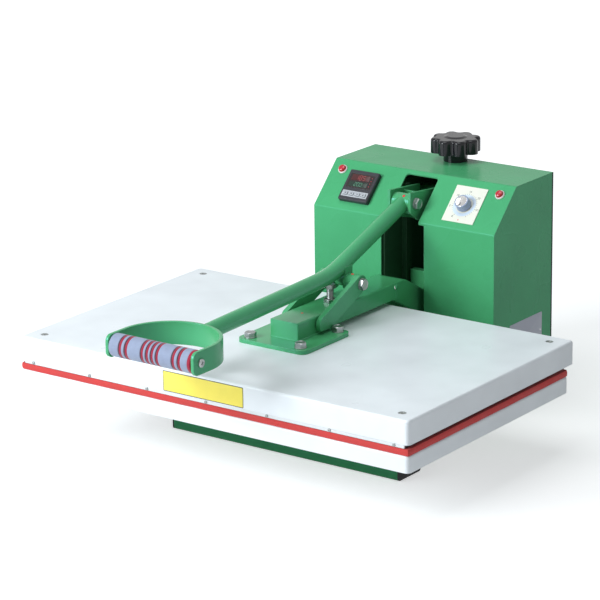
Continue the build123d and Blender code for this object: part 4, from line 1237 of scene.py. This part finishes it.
@dataclass
class Bed:
    """The padded bed."""

    finishes: Finishes
    bulge: float = 0.0008
    waver: float = 0.0004

    def pad(self) -> None:
        """A sponge slab whose edge bulges by b (2t - 1)^2 over its thickness t and wavers along its length.

        The outline is drawn in by waver * (0.5 + 0.25 sin(37s + 2t) + 0.25 sin 91s), where s is
        1.7x + 2.3y in metres from the middle, so that a cut edge shows.
        """
        low, high = low_high("silicone_pad")
        outline = spaced(rounded_rectangle(high[0] - low[0], high[1] - low[1], 0.002), 0.003, closed=True)
        share = np.linspace(0.0, 1.0, 9)
        run = outline[:, 0] * 1.7 + outline[:, 1] * 2.3
        inset = self.bulge * (2 * share[:, None] - 1) ** 2
        waves = 0.5 + 0.25 * np.sin(37 * run + 2 * share[:, None]) + 0.25 * np.sin(91 * run)[None]
        inset = inset + self.waver * waves
        rings = outline[None] - inset[..., None] * unit(outline)[None]
        inner = rings[-1][None] * np.array([0.97, 0.8, 0.55, 0.3])[:, None, None]
        rings = np.concatenate([rings, inner])
        heights = np.concatenate([share, np.ones(4)]) * (high[2] - low[2])
        base = (low + high) / 2 * (1, 1, 0) + (0, 0, low[2])
        shell = loft(Axes(tuple(base), UPWARD, RIGHT).lift(rings, heights))
        piece = make_piece("pad", [shell], self.finishes.silicone, Body.STAND, Slot.SILICONE, 50)
        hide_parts("silicone_pad")

    def build(self) -> None:
        """Dresses the nodes and lays the pad."""
        dress(self.finishes.white, "bed_tray")
        dress(self.finishes.aluminium, "bed_core_plate")
        self.pad()


@dataclass
class UpperPlaten:
    """The heated platen and its cover."""

    finishes: Finishes
    front: float = -0.2516
    strip_height: float = 0.1191
    strip_pitch: float = 0.096
    corner_across: float = 0.286
    corner_back: tuple[float, float] = (-0.2286, 0.1144)
    top: float = 0.1533
    label: tuple[float, float, float, float] = (-0.068, 0.0605, 0.1223, 0.1496)

    def screws(self) -> None:
        """Pan screws along the front strip and countersunk ones in the corners, all in bright zinc."""
        low, _ = low_high("platen_screws")
        pan = pan_side(0.0021, 0.0007, 0.0013, 0.008)
        shells = []
        for index in range(7):
            spot = Axes(((index - 3) * self.strip_pitch, self.front + 0.001, self.strip_height), FRONT, RIGHT)
            shells.append(driven_screw(pan, 0.0002, Recess.CROSS, spot, 32))
        depth = self.top - float(low[2])
        side = np.array([(-depth, 0.0024), (-0.0027, 0.0025), (-0.0002, 0.0049), (0.0, 0.0047)])
        for across in (-self.corner_across, self.corner_across):
            for back in self.corner_back:
                spot = Axes((across, back, self.top), UPWARD, RIGHT)
                shells.append(driven_screw(side, 0.0, Recess.SOCKET, spot, 36))
        piece = make_piece("platen_screw_set", shells, self.finishes.zinc, Body.PLATEN, Slot.ZINC, 35)
        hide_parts("platen_screws")

    def plates(self) -> None:
        """A blank yellow label with a dark border on the cover's front."""
        left, right, low, high = self.label
        spot = Axes(((left + right) / 2, self.front, (low + high) / 2), FRONT, RIGHT)
        wide, tall = right - left, high - low
        border = film(wide, tall, 0.0015, 0.00015, spot)
        make_piece("label_border", [border], self.finishes.ink, Body.PLATEN, Slot.BLACK, 60)
        field_piece = film(wide - 0.0018, tall - 0.0018, 0.001, 0.00024, spot)
        make_piece("label_field", [field_piece], self.finishes.yellow, Body.PLATEN, Slot.PLATE, 60)

    def build(self) -> None:
        """Dresses the nodes and adds screws and label."""
        f = self.finishes
        dress(f.white, "platen_cover")
        # The platen's dark coating also stands for the shade under the cover's edge.
        dress(f.coating, "heater_platen")
        dress(f.white_metal, "front_edge_strip")
        dress(f.wool, "insulation_blanket")
        dress(f.dark_steel, "heating_element")
        dress(f.zinc, "platen_standoffs")
        self.screws()
        self.plates()


@dataclass
class LiftArm:
    """The arm that carries the platen, with its bolts."""

    finishes: Finishes
    plate_top: float = 0.1588
    bar_half: float = 0.023
    bar_front: float = -0.0816
    plate_back: float = -0.0066
    bolts_across: float = 0.0405
    bolts_back: tuple[float, float] = (-0.1011, -0.0171)
    stop_back: float = 0.0228
    arm_top: float = 0.1828
    head_height: float = 0.006
    knee_back: float = 0.145

    def bolts(self) -> None:
        """Four washers and hexagonal bolts that hold the arm's plate."""
        low, _ = low_high("arm_plate_bolts")
        shells = []
        for across in (-self.bolts_across, self.bolts_across):
            for back in self.bolts_back:
                turn = 0.4 + 5.0 * across + 9.0 * back
                facing = (math.cos(turn), math.sin(turn), 0)
                seat = Axes((across, back, self.plate_top), UPWARD, RIGHT)
                head = Axes((across, back, self.plate_top + WASHER_THICKNESS), UPWARD, facing)
                shank = Axes((across, back, float(low[2])), UPWARD, RIGHT)
                reach = self.plate_top - float(low[2])
                shells.append(washer(WASHER_RADIUS, WASHER_THICKNESS, seat))
                shells.append(hexagonal_head(BOLT_ACROSS, self.head_height, head))
                shells.append(threaded_rod(THREAD_RADIUS, THREAD_PITCH, 0.0, reach, shank, 28))
        piece = make_piece("plate_bolts", shells, self.finishes.zinc, Body.PLATEN, Slot.ZINC, 28)
        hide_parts("arm_plate_bolts")

    def stop(self) -> None:
        """The stop bolt with its lock nut and a visible thread between them."""
        low, high = low_high("stop_bolt")
        base = Axes((0, self.stop_back, float(low[2])), UPWARD, RIGHT)
        nut = Axes((0, self.stop_back, self.arm_top), (0, 0, 1), (0.9, 0.4, 0))
        head = Axes((0, self.stop_back, float(high[2]) - self.head_height), (0, 0, 1), (0.5, 0.8, 0))
        shells = [
            threaded_rod(THREAD_RADIUS, THREAD_PITCH, 0.0, float(high[2] - low[2]) - self.head_height, base),
            hexagonal_head(0.016, 0.005, nut),
            hexagonal_head(0.013, self.head_height, head),
        ]
        piece = make_piece("stop_bolt_set", shells, self.finishes.zinc, Body.PLATEN, Slot.ZINC, 28)
        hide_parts("stop_bolt")

    def beads(self) -> None:
        """Weld beads at the plate and at the knee, two bright metal spots there as a painted highlight, and
        an oil dot on top.
        """
        half, lift = self.bar_half + 0.0001, self.plate_top + 0.0002
        back, front = self.plate_back - 0.002, self.bar_front - 0.0001
        flat = filleted([(half, back), (half, front), (-half, front), (-half, back)], 0.004, 8)
        path = np.column_stack([flat, np.full(len(flat), lift)])
        make_piece("arm_bead", [weld_bead(path, 0.0014)], self.finishes.green, Body.PLATEN, Slot.GREEN, 60)
        seam = np.array([(self.bar_half, self.knee_back, 0.1592), (self.bar_half, self.knee_back, 0.1812)])
        beads = [weld_bead(seam * (side, 1, 1), 0.0008, up=(1.0, 0.0, 0.0)) for side in (-1, 1)]
        make_piece("knee_seam", beads, self.finishes.green, Body.PLATEN, Slot.GREEN, 60)
        # Painted highlight: two bright metal spots stand for the glint at the knee.
        spots = [Axes((side * self.bar_half, 0.1449, 0.1772), (side, 0, 0.25), BACK) for side in (-1, 1)]
        glint_spots = [dot(0.0040, spot, 0.0008) for spot in spots]
        make_piece("knee_glint_spots", glint_spots, self.finishes.bright, Body.PLATEN, Slot.ZINC, 50)
        spot = Axes((-0.0011, -0.0395, self.arm_top), UPWARD, RIGHT)
        make_piece("arm_dot", [dot(0.0018, spot)], self.finishes.red_ink, Body.PLATEN, Slot.LENS, 50)

    def build(self) -> None:
        """Dresses the nodes, adds bolts and beads."""
        dress(self.finishes.green, "lift_arm")
        dress(self.finishes.brass, "hinge_bushes")
        self.bolts()
        self.stop()
        self.beads()


@dataclass
class Toggle:
    """The two links between arm and lever."""

    finishes: Finishes
    upper: tuple[float, float] = (0.0499, 0.20586)
    inner: float = 0.0252
    outer: float = 0.032

    def bolts(self) -> None:
        """The upper pivots: a short stub inside each link, and the ends of a cross bolt."""
        low, high = low_high("link_upper_bolts")
        gap = 0.0002
        stub = np.array([(self.inner - self.outer, 0.0048), (gap, 0.0048)])
        shells = [
            solid_of_turn(stub, Axes((self.outer, *self.upper), RIGHT, BACK), 40),
            solid_of_turn(stub, Axes((-self.outer, *self.upper), LEFT, BACK), 40),
        ]
        tips = (float(low[0]), float(high[0]))
        shells += pivot_ends(self.outer, self.upper, (0, 0.8, 0.5), tips, gap)
        piece = make_piece("link_bolt", shells, self.finishes.zinc, Body.LINKS, Slot.ZINC, 28)
        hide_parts("link_upper_bolts")

    def build(self) -> None:
        """Dresses the nodes and adds the pivot."""
        dress(self.finishes.green, "link_left", "link_right", "link_lower_pin")
        self.bolts()


@dataclass
class Lever:
    """The lever with its handle."""

    finishes: Finishes
    grip: tuple[float, float] = (-0.3476, 0.21)
    grip_half: float = 0.06445
    grip_radius: float = 0.015
    core_radius: float = 0.00605
    strap_side: float = 0.06975
    strap_back: float = -0.25585
    tube_radius: float = 0.011
    groove: float = 0.0003
    rings: tuple[tuple[float, float], ...] = (
        (-46.6, 5.4), (-37.2, 5.4), (-11.8, 4.8), (-3.8, 4.8), (3.8, 4.8),
        (11.8, 4.8), (36.7, 5.2), (45.9, 5.2), (61.9, 5.2),
    )

    def foam(self) -> None:
        """A foam sleeve with coloured rings set into it.

        Its radius is r less groove * exp(-(d / 0.4 mm)^2), d being the distance to the nearest ring
        edge, and its ends are rounded by 1.5 mm. A ring has a painted shadow over the left 0.42 of its
        width and is red on the rest, but the one at the right end is all red.
        """
        centre, width = np.array(self.rings).T * MM
        low, high = centre - width / 2, centre + width / 2
        run = np.linspace(-self.grip_half, self.grip_half, 421)
        gap = np.abs(run[:, None] - np.concatenate([low, high])[None]).min(axis=1)
        edge = 0.0015
        past = np.clip(np.abs(run) - (self.grip_half - edge), 0.0, edge)
        grooved = self.grip_radius - self.groove * np.exp(-((gap / 0.0004) ** 2))
        outer = grooved - (edge - np.sqrt(edge**2 - past**2))
        bore = np.stack([run[::-20], np.full(22, self.core_radius)], axis=1)
        profile = np.concatenate([np.stack([run, outer], axis=1), bore])
        axes = Axes((0, *self.grip), RIGHT, BACK)
        shell = solid_of_turn(profile, axes, 64, wrap=True)
        piece = make_piece("foam_sleeve", [shell], self.finishes.foam, Body.LEVER, Slot.FOAM, 60)
        split, last = low + width * 0.42, 0.06
        mark(piece, "red_ring", lambda p: ((p[:, :1] >= low) & (p[:, :1] <= high)).any(axis=1))
        # Painted shadow: the left part of every ring but the last is darkened.
        dark = centre < last
        mark(piece, "painted_ring_shadow", lambda p: ((p[:, :1] >= low) & (p[:, :1] <= split) & dark).any(axis=1))
        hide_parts("foam_grip")

    def screws(self) -> None:
        """Pan screws in both ends of the handle."""
        back, rise = self.grip
        pan = pan_side(0.0055, 0.0013, 0.0026, 0.02, 0.0025)
        shells = []
        for sign in (-1, 1):
            spot = Axes((sign * self.strap_side, back, rise), (sign, 0, 0), (0, 0.9, 0.3 * sign))
            shells.append(driven_screw(pan, 0.0006, Recess.CROSS, spot))
        piece = make_piece("handle_screws", shells, self.finishes.zinc, Body.LEVER, Slot.ZINC, 35)
        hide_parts("grip_screws")

    def beads(self) -> None:
        """The weld round the tube at the strap, and red oil dots on both sleeves."""
        spot = Axes((0, self.strap_back + 0.0004, self.grip[1] + 0.0001), (0, 1, 0.0293), (1, 0, 0))
        bead = ring_bead(self.tube_radius + 0.0003, 0.0019, spot)
        make_piece("strap_bead", [bead], self.finishes.green, Body.LEVER, Slot.GREEN, 60)
        dots = []
        for place, out in (((0.0035, 0.2004, 0.2815), 124.0), ((0.0185, 0.0499, 0.20586), 95.0)):
            angle = math.radians(out)
            along = (0.0, math.cos(angle), math.sin(angle))
            seat = np.array(place) + 0.0119 * np.array(along)
            dots.append(dot(0.0021, Axes(tuple(seat), along, (1, 0, 0)), 0.0006))
        make_piece("oil_dots", dots, self.finishes.red_ink, Body.LEVER, Slot.LENS, 50)

    def build(self) -> None:
        """Dresses the nodes, adds foam, screws and beads."""
        dress(self.finishes.green, "lever_tube", "handle_strap")
        dress(self.finishes.dark_steel, "grip_core")
        self.foam()
        self.screws()
        self.beads()


@dataclass
class Head:
    """The casing with the pressure screw."""

    finishes: Finishes
    half: float = 0.149
    back: float = 0.3466
    side_rows: tuple[float, ...] = (0.2198, 0.2697, 0.3196)
    side_height: float = 0.043
    back_rows: tuple[float, ...] = (0.0705, 0.1766, 0.2827)
    back_across: float = 0.141
    pivot: tuple[float, float] = (0.2004, 0.2815)
    plate: tuple[float, float, float, float] = (0.2358, 0.3198, 0.069, 0.119)

    def screws(self) -> None:
        """Pan screws along the casing's foot and round its back panel."""
        side = pan_side(0.0028, 0.0009, 0.0014, 0.009, 0.0014)
        shells = []
        for sign in (-1, 1):
            for index, row in enumerate(self.side_rows):
                spot = Axes((sign * self.half, row, self.side_height), (sign, 0, 0), (0, 0.9, 0.2 * index))
                shells.append(driven_screw(side, 0.0004, Recess.CROSS, spot, 36))
            for index, row in enumerate(self.back_rows):
                spot = Axes((sign * self.back_across, self.back, row), (0, 1, 0), (1, 0, 0.3 * index))
                shells.append(driven_screw(side, 0.0004, Recess.CROSS, spot, 36))
        piece = make_piece("sheet_screws", shells, self.finishes.zinc, Body.STAND, Slot.ZINC, 35)
        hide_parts("casing_screws")

    def pivot_bolt(self) -> None:
        """The lever's pivot in the carriage: washer and hexagonal head right, low head left."""
        low, high = low_high("lever_pivot_bolt")
        seat = 0.0187
        shank = np.array([(-2 * seat, THREAD_RADIUS), (0.0, THREAD_RADIUS)])
        shells = [solid_of_turn(shank, Axes((seat, *self.pivot), RIGHT, BACK), 40)]
        tips = (float(low[0]), float(high[0]))
        shells += pivot_ends(seat, self.pivot, (0, 0.3, 0.9), tips)
        piece = make_piece("pivot_bolt", shells, self.finishes.zinc, Body.CARRIAGE, Slot.ZINC, 28)
        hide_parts("lever_pivot_bolt")

    def seal(self) -> None:
        """A dark strip along both side edges of the back panel, as painted shade in the seam there."""
        tall = 0.2722
        shells = []
        for sign in (-1, 1):
            spot = Axes((sign * self.half, self.back - 0.0016, 0.0405 + tall / 2), (sign, 0, 0), (0, 1, 0))
            shells.append(film(0.0030, tall, 0.0002, 0.0002, spot, 0.0001))
        make_piece("panel_seam_shade", shells, self.finishes.rubber, Body.STAND, Slot.BLACK, 60)

    def rating_plate(self) -> None:
        """A blank silver plate on the right side, held by two small rivets."""
        near, far, low, high = self.plate
        spot = Axes((self.half, (near + far) / 2, (low + high) / 2), RIGHT, BACK)
        shells = [film(far - near, high - low, 0.002, 0.0004, spot, 0.0002)]
        first = spot.frame()[1]
        make_piece("side_plate", shells, self.finishes.silver, Body.STAND, Slot.PLATE, 50)
        rivets = []
        for sign in (-1, 1):
            place = np.array(spot.origin) + sign * first * (far - near - 0.008) / 2
            rivets.append(dot(0.0013, Axes(tuple(place), RIGHT, BACK), 0.0009))
        make_piece("side_rivets", rivets, self.finishes.bright, Body.STAND, Slot.BRIGHT, 50)

    def build(self) -> None:
        """Dresses the nodes and adds the fixings."""
        f = self.finishes
        dress(f.casing_green, "head_casing", "head_back_panel")
        dress(f.green, "pressure_carriage")
        dress(f.zinc, "spindle_collar")
        dress(f.dark_steel, "pressure_spindle")
        dress(f.brass, "spindle_nut")
        dress(f.knob, "pressure_knob")
        self.screws()
        self.pivot_bolt()
        self.seal()
        self.rating_plate()


@dataclass
class Slope:
    """The sloping front of the head, which carries the controls."""

    fold: tuple[float, float] = (0.1948, 0.2568)

    def at(self, across: float, up: float, proud: float = 0.0, first: Point = (1.0, 0.0, 0.0)) -> Axes:
        """Axes on the slope: its normal along and the first direction to the right.

        Args:
            across: Distance to the right of the middle.
            up: Distance up the slope from the fold.
            proud: Height above the sheet.
            first: The section's first direction.

        Returns:
            The axes.
        """
        root = math.sqrt(0.5)
        back = self.fold[0] + root * (up - proud)
        rise = self.fold[1] + root * (up + proud)
        return Axes((across, back, rise), (0.0, -root, root), first)


@dataclass
class Controls:
    """Temperature controller, timer and pilot lamps."""

    finishes: Finishes
    slope: Slope = field(default_factory=Slope)
    controller: tuple[float, float] = (-0.0877, 0.0373)
    face: float = 0.007
    field_thickness: float = 0.00008
    window_up: float = 0.007
    button_up: float = -0.0145
    button_pitch: float = 0.01
    timer: tuple[float, float] = (0.085, 0.0385)
    lamps: tuple[float, float] = (0.130, 0.0624)
    knob_drop: float = 0.0015
    plate_thickness: float = 0.0012
    knob_seat: float = 0.0027

    def display(self) -> None:
        """Two dim fields with digits, the upper red and the lower green, and a column of small lights."""
        f = self.finishes
        x, u = self.controller
        middle = x - 0.002
        glass = self.face + 0.00005
        top = glass + self.field_thickness
        upper, lower = u + self.window_up + 0.0053, u + self.window_up - 0.0055
        fields = (("upper_field", 0.0095, upper, f.dim_red), ("lower_field", 0.0080, lower, f.dim_green))
        for name, tall, height, finish in fields:
            shell = film(0.030, tall, 0.0006, self.field_thickness, self.slope.at(middle, height, glass))
            make_piece(name, [shell], finish, Body.STAND, Slot.WINDOW, 60)
        rows = (
            ("upper_digits", "185", 0.0068, upper, f.red_digits),
            ("lower_digits", "200", 0.0056, lower, f.green_digits),
        )
        for name, text, tall, height, finish in rows:
            place = partial(self.digit_spot, middle, height, top)
            make_piece(name, display_digits(text, tall, place), finish, Body.STAND, Slot.LENS, 60)
        heights = [u + self.window_up + 0.007 - 0.0045 * i for i in range(4)]
        dots = [dot(0.0006, self.slope.at(x + 0.0165, height, glass), 0.0002) for height in heights]
        make_piece("state_lights", dots, f.lens, Body.STAND, Slot.LENS, 50)

    def digit_spot(self, middle: float, height: float, top: float, across: float, up: float) -> Axes:
        """The place of a digit's bar, counted from the middle of its row."""
        return self.slope.at(middle + across, height + up, top)

    def key_field(self) -> None:
        """A pale field that leaves the four keys free: two strips and the bridges between the keys."""
        x, u = self.controller
        key_wide, key_tall, field_wide, field_tall = 0.0080, 0.0054, 0.0425, 0.0098
        strip = (field_tall - key_tall) / 2
        thick, middle = 0.00012, u + self.button_up
        spots = [self.slope.at(x, middle + sign * (key_tall + strip) / 2, self.face) for sign in (-1, 1)]
        pale = [film(field_wide, strip, 0.0003, thick, spot) for spot in spots]
        bridge = self.button_pitch - key_wide
        outer = (field_wide - 3 * self.button_pitch - key_wide) / 2
        stops = [(i * self.button_pitch, bridge) for i in (-1, 0, 1)]
        stops += [(sign * (field_wide - outer) / 2, outer) for sign in (-1, 1)]
        for across, wide in stops:
            spot = self.slope.at(x + across, middle, self.face)
            pale.append(film(wide, key_tall, 0.0002, thick, spot, 0.00005))
        make_piece("key_field", pale, self.finishes.grey_plastic, Body.STAND, Slot.GREY_PLASTIC, 60)

    def keys(self) -> None:
        """A raised mark on each key that moves with it: a dot and three arrows."""
        x, u = self.controller
        proud = self.face + 0.0012
        bodies = (Body.SET, Body.SHIFT, Body.DOWN, Body.UP)
        arrow = np.array([(0.0013, -0.0008), (0.0, 0.001), (-0.0013, -0.0008)])
        for index, body in enumerate(bodies):
            spot = self.slope.at(x + (index - 1.5) * self.button_pitch, u + self.button_up, proud)
            if body is Body.SET:
                shell = dot(0.0009, spot, 0.00012)
            elif body is Body.SHIFT:
                shell = prism(arrow[:, ::-1] * (-1, 1), 0.00012, spot)
            else:
                shell = prism(arrow * (1 if body is Body.UP else -1), 0.00012, spot)
            make_piece(f"key_mark_{body.value}", [shell], self.finishes.ink, body, Slot.BLACK, 40)

    def dial(self) -> None:
        """The timer's pale ring, its ticks, plain figures and a small red mark at the zero."""
        f = self.finishes
        x, u = self.timer
        plate = self.plate_thickness
        ring = np.array([(0.0, 0.0125), (0.0001, 0.0125), (0.0001, 0.0172), (0.0, 0.0172)])
        middle, root = u - self.knob_drop, math.sqrt(0.5)
        spot = self.slope.at(x, middle, plate)
        shell = solid_of_turn(ring, spot, 96, wrap=True)
        make_piece("dial_ring", [shell], f.pale_blue, Body.STAND, Slot.PLATE, 40)
        ticks, figures = [], []
        for index in range(31):
            angle = math.radians(240 - 10 * index)
            major = index % 5 == 0
            along = (math.cos(angle), math.sin(angle))
            reach = 0.0186 + (0.0 if major else -0.0004)
            long, wide = (0.0022, 0.0004) if major else (0.0013, 0.00025)
            facing = (along[0], along[1] * root, along[1] * root)
            place = self.slope.at(x + reach * along[0], middle + reach * along[1], plate, facing)
            ticks.append(prism(rounded_rectangle(long, wide, wide * 0.3, 2), INK_THICKNESS, place))
            if major and index < 30:
                far = 0.0222
                number = self.slope.at(x + far * along[0], middle + far * along[1], plate)
                figures.append(lettering(str(index), 0.0042, number))
        make_piece("dial_ticks", ticks, f.ink, Body.STAND, Slot.BLACK, 40)
        make_piece("dial_figures", figures, f.ink, Body.STAND, Slot.BLACK, 40)
        zero = self.slope.at(x, u - 0.0245, plate)
        shell = prism(np.array([(0.0011, -0.001), (0.0, 0.0011), (-0.0011, -0.001)]), INK_THICKNESS, zero)
        make_piece("dial_mark", [shell], f.red_ink, Body.STAND, Slot.LENS, 40)

    def timer_knob(self) -> None:
        """A fluted knob with a bright cap and a pointer line.

        The wall's radius is r (1 - 0.03 + 0.03 |cos 14 t|), tapering by 0.6 mm to the top.
        """
        x, u = self.timer
        spot = self.slope.at(x, u - self.knob_drop, self.knob_seat)
        count = 168
        turn = np.linspace(0.0, 2 * math.pi, count, endpoint=False)
        flute = 0.97 + 0.03 * np.abs(np.cos(14 * turn))
        edge = roll(0.0008, 4)
        heights = np.concatenate([[0.0, 0.0012, 0.0016], 0.0102 - edge[:, 1], [0.0102, 0.0099]])
        radii = np.concatenate([[0.0108, 0.0108, 0.0104], 0.0102 - edge[:, 0], [0.0086, 0.0085]])
        share = np.concatenate([[0.0, 0.0, 1.0], np.linspace(1.0, 0.3, len(edge)), [0.0, 0.0]])
        wall = radii[:, None] * (1 - share[:, None] * (1 - flute[None]))
        body = loft(spot.lift(wall[..., None] * circle(1.0, count)[None], heights))
        piece = make_piece("knob_body", [body], self.finishes.knob_blue, Body.TIMER, Slot.GREY_PLASTIC, 40)
        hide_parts("timer_knob")
        cap = np.array([
            (0.0085, 0.0084), (0.0100, 0.0084), (0.0103, 0.0081),
            (0.0103, 0.0076), (0.0101, 0.0072), (0.0101, 0.002),
        ])
        shell = solid_of_turn(cap, spot, 72)
        make_piece("knob_cap", [shell], self.finishes.bright, Body.TIMER, Slot.BRIGHT, 35)
        line = self.slope.at(x, u - self.knob_drop - 0.0048, self.knob_seat + 0.0101)
        mark_shell = prism(rounded_rectangle(0.0009, 0.0052, 0.0003, 2), 0.0002, line)
        make_piece("knob_line", [mark_shell], self.finishes.ink, Body.TIMER, Slot.BLACK, 40)

    def pilots(self) -> None:
        """Two pilot lamps: a rounded bezel and a stepped, domed lens."""
        x, u = self.lamps
        bezel = np.array([
            (0.0, 0.0054), (0.0, 0.007), (0.0009, 0.007), (0.0015, 0.0067),
            (0.0019, 0.0062), (0.002, 0.0057), (0.0017, 0.0054),
        ])
        dome = np.array([(-0.001, 0.0053), (0.0024, 0.0053), (0.0026, 0.0051), (0.0042, 0.0049)])
        turn = np.linspace(0.25, math.pi / 2 - 0.05, 8)
        cap = np.stack([0.0042 + 0.0018 * np.sin(turn), 0.0049 * np.cos(turn) + 0.00015], axis=1)
        rims, lenses = [], []
        for sign in (-1, 1):
            spot = self.slope.at(sign * x, u)
            rims.append(solid_of_turn(bezel, spot, 56, wrap=True))
            lenses.append(solid_of_turn(np.concatenate([dome, cap]), spot, 56))
        rim = make_piece("lamp_rims", rims, self.finishes.rim, Body.STAND, Slot.BRIGHT, 40)
        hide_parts("pilot_lamp_bezels")
        lens = make_piece("lamp_domes", lenses, self.finishes.lens, Body.STAND, Slot.LENS, 40)
        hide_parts("pilot_lamp_lenses")

    def build(self) -> None:
        """Dresses the nodes and adds the fronts."""
        f = self.finishes
        dress(f.dark_plastic, "controller_case", "timer_body")
        dress(f.window, "controller_window")
        dress(f.grey_plastic, "controller_button_set", "controller_button_shift")
        dress(f.grey_plastic, "controller_button_down", "controller_button_up")
        dress(f.cream, "timer_scale_plate")
        self.display()
        self.key_field()
        self.keys()
        self.dial()
        self.timer_knob()
        self.pilots()


@dataclass
class Rear:
    """Switch, gland and the electrical parts inside."""

    finishes: Finishes

    def build(self) -> None:
        """Dresses the nodes."""
        f = self.finishes
        dress(f.dark_plastic, "power_switch_frame", "cable_gland")
        dress(f.knob, "power_rocker")
        dress(f.aluminium, "relay_heat_sink")
        dress(f.white_plastic, "solid_state_relay", "terminal_block")


def main() -> None:
    """Builds the studio and the sub-assemblies in order."""
    logging.basicConfig(level=logging.INFO, format="%(name)s %(message)s")
    finishes = Finishes()
    Studio().build()
    for part in (Stand, Bed, UpperPlaten, LiftArm, Toggle, Lever, Head, Controls, Rear):
        part(finishes).build()


if __name__ == "__main__":
    main()
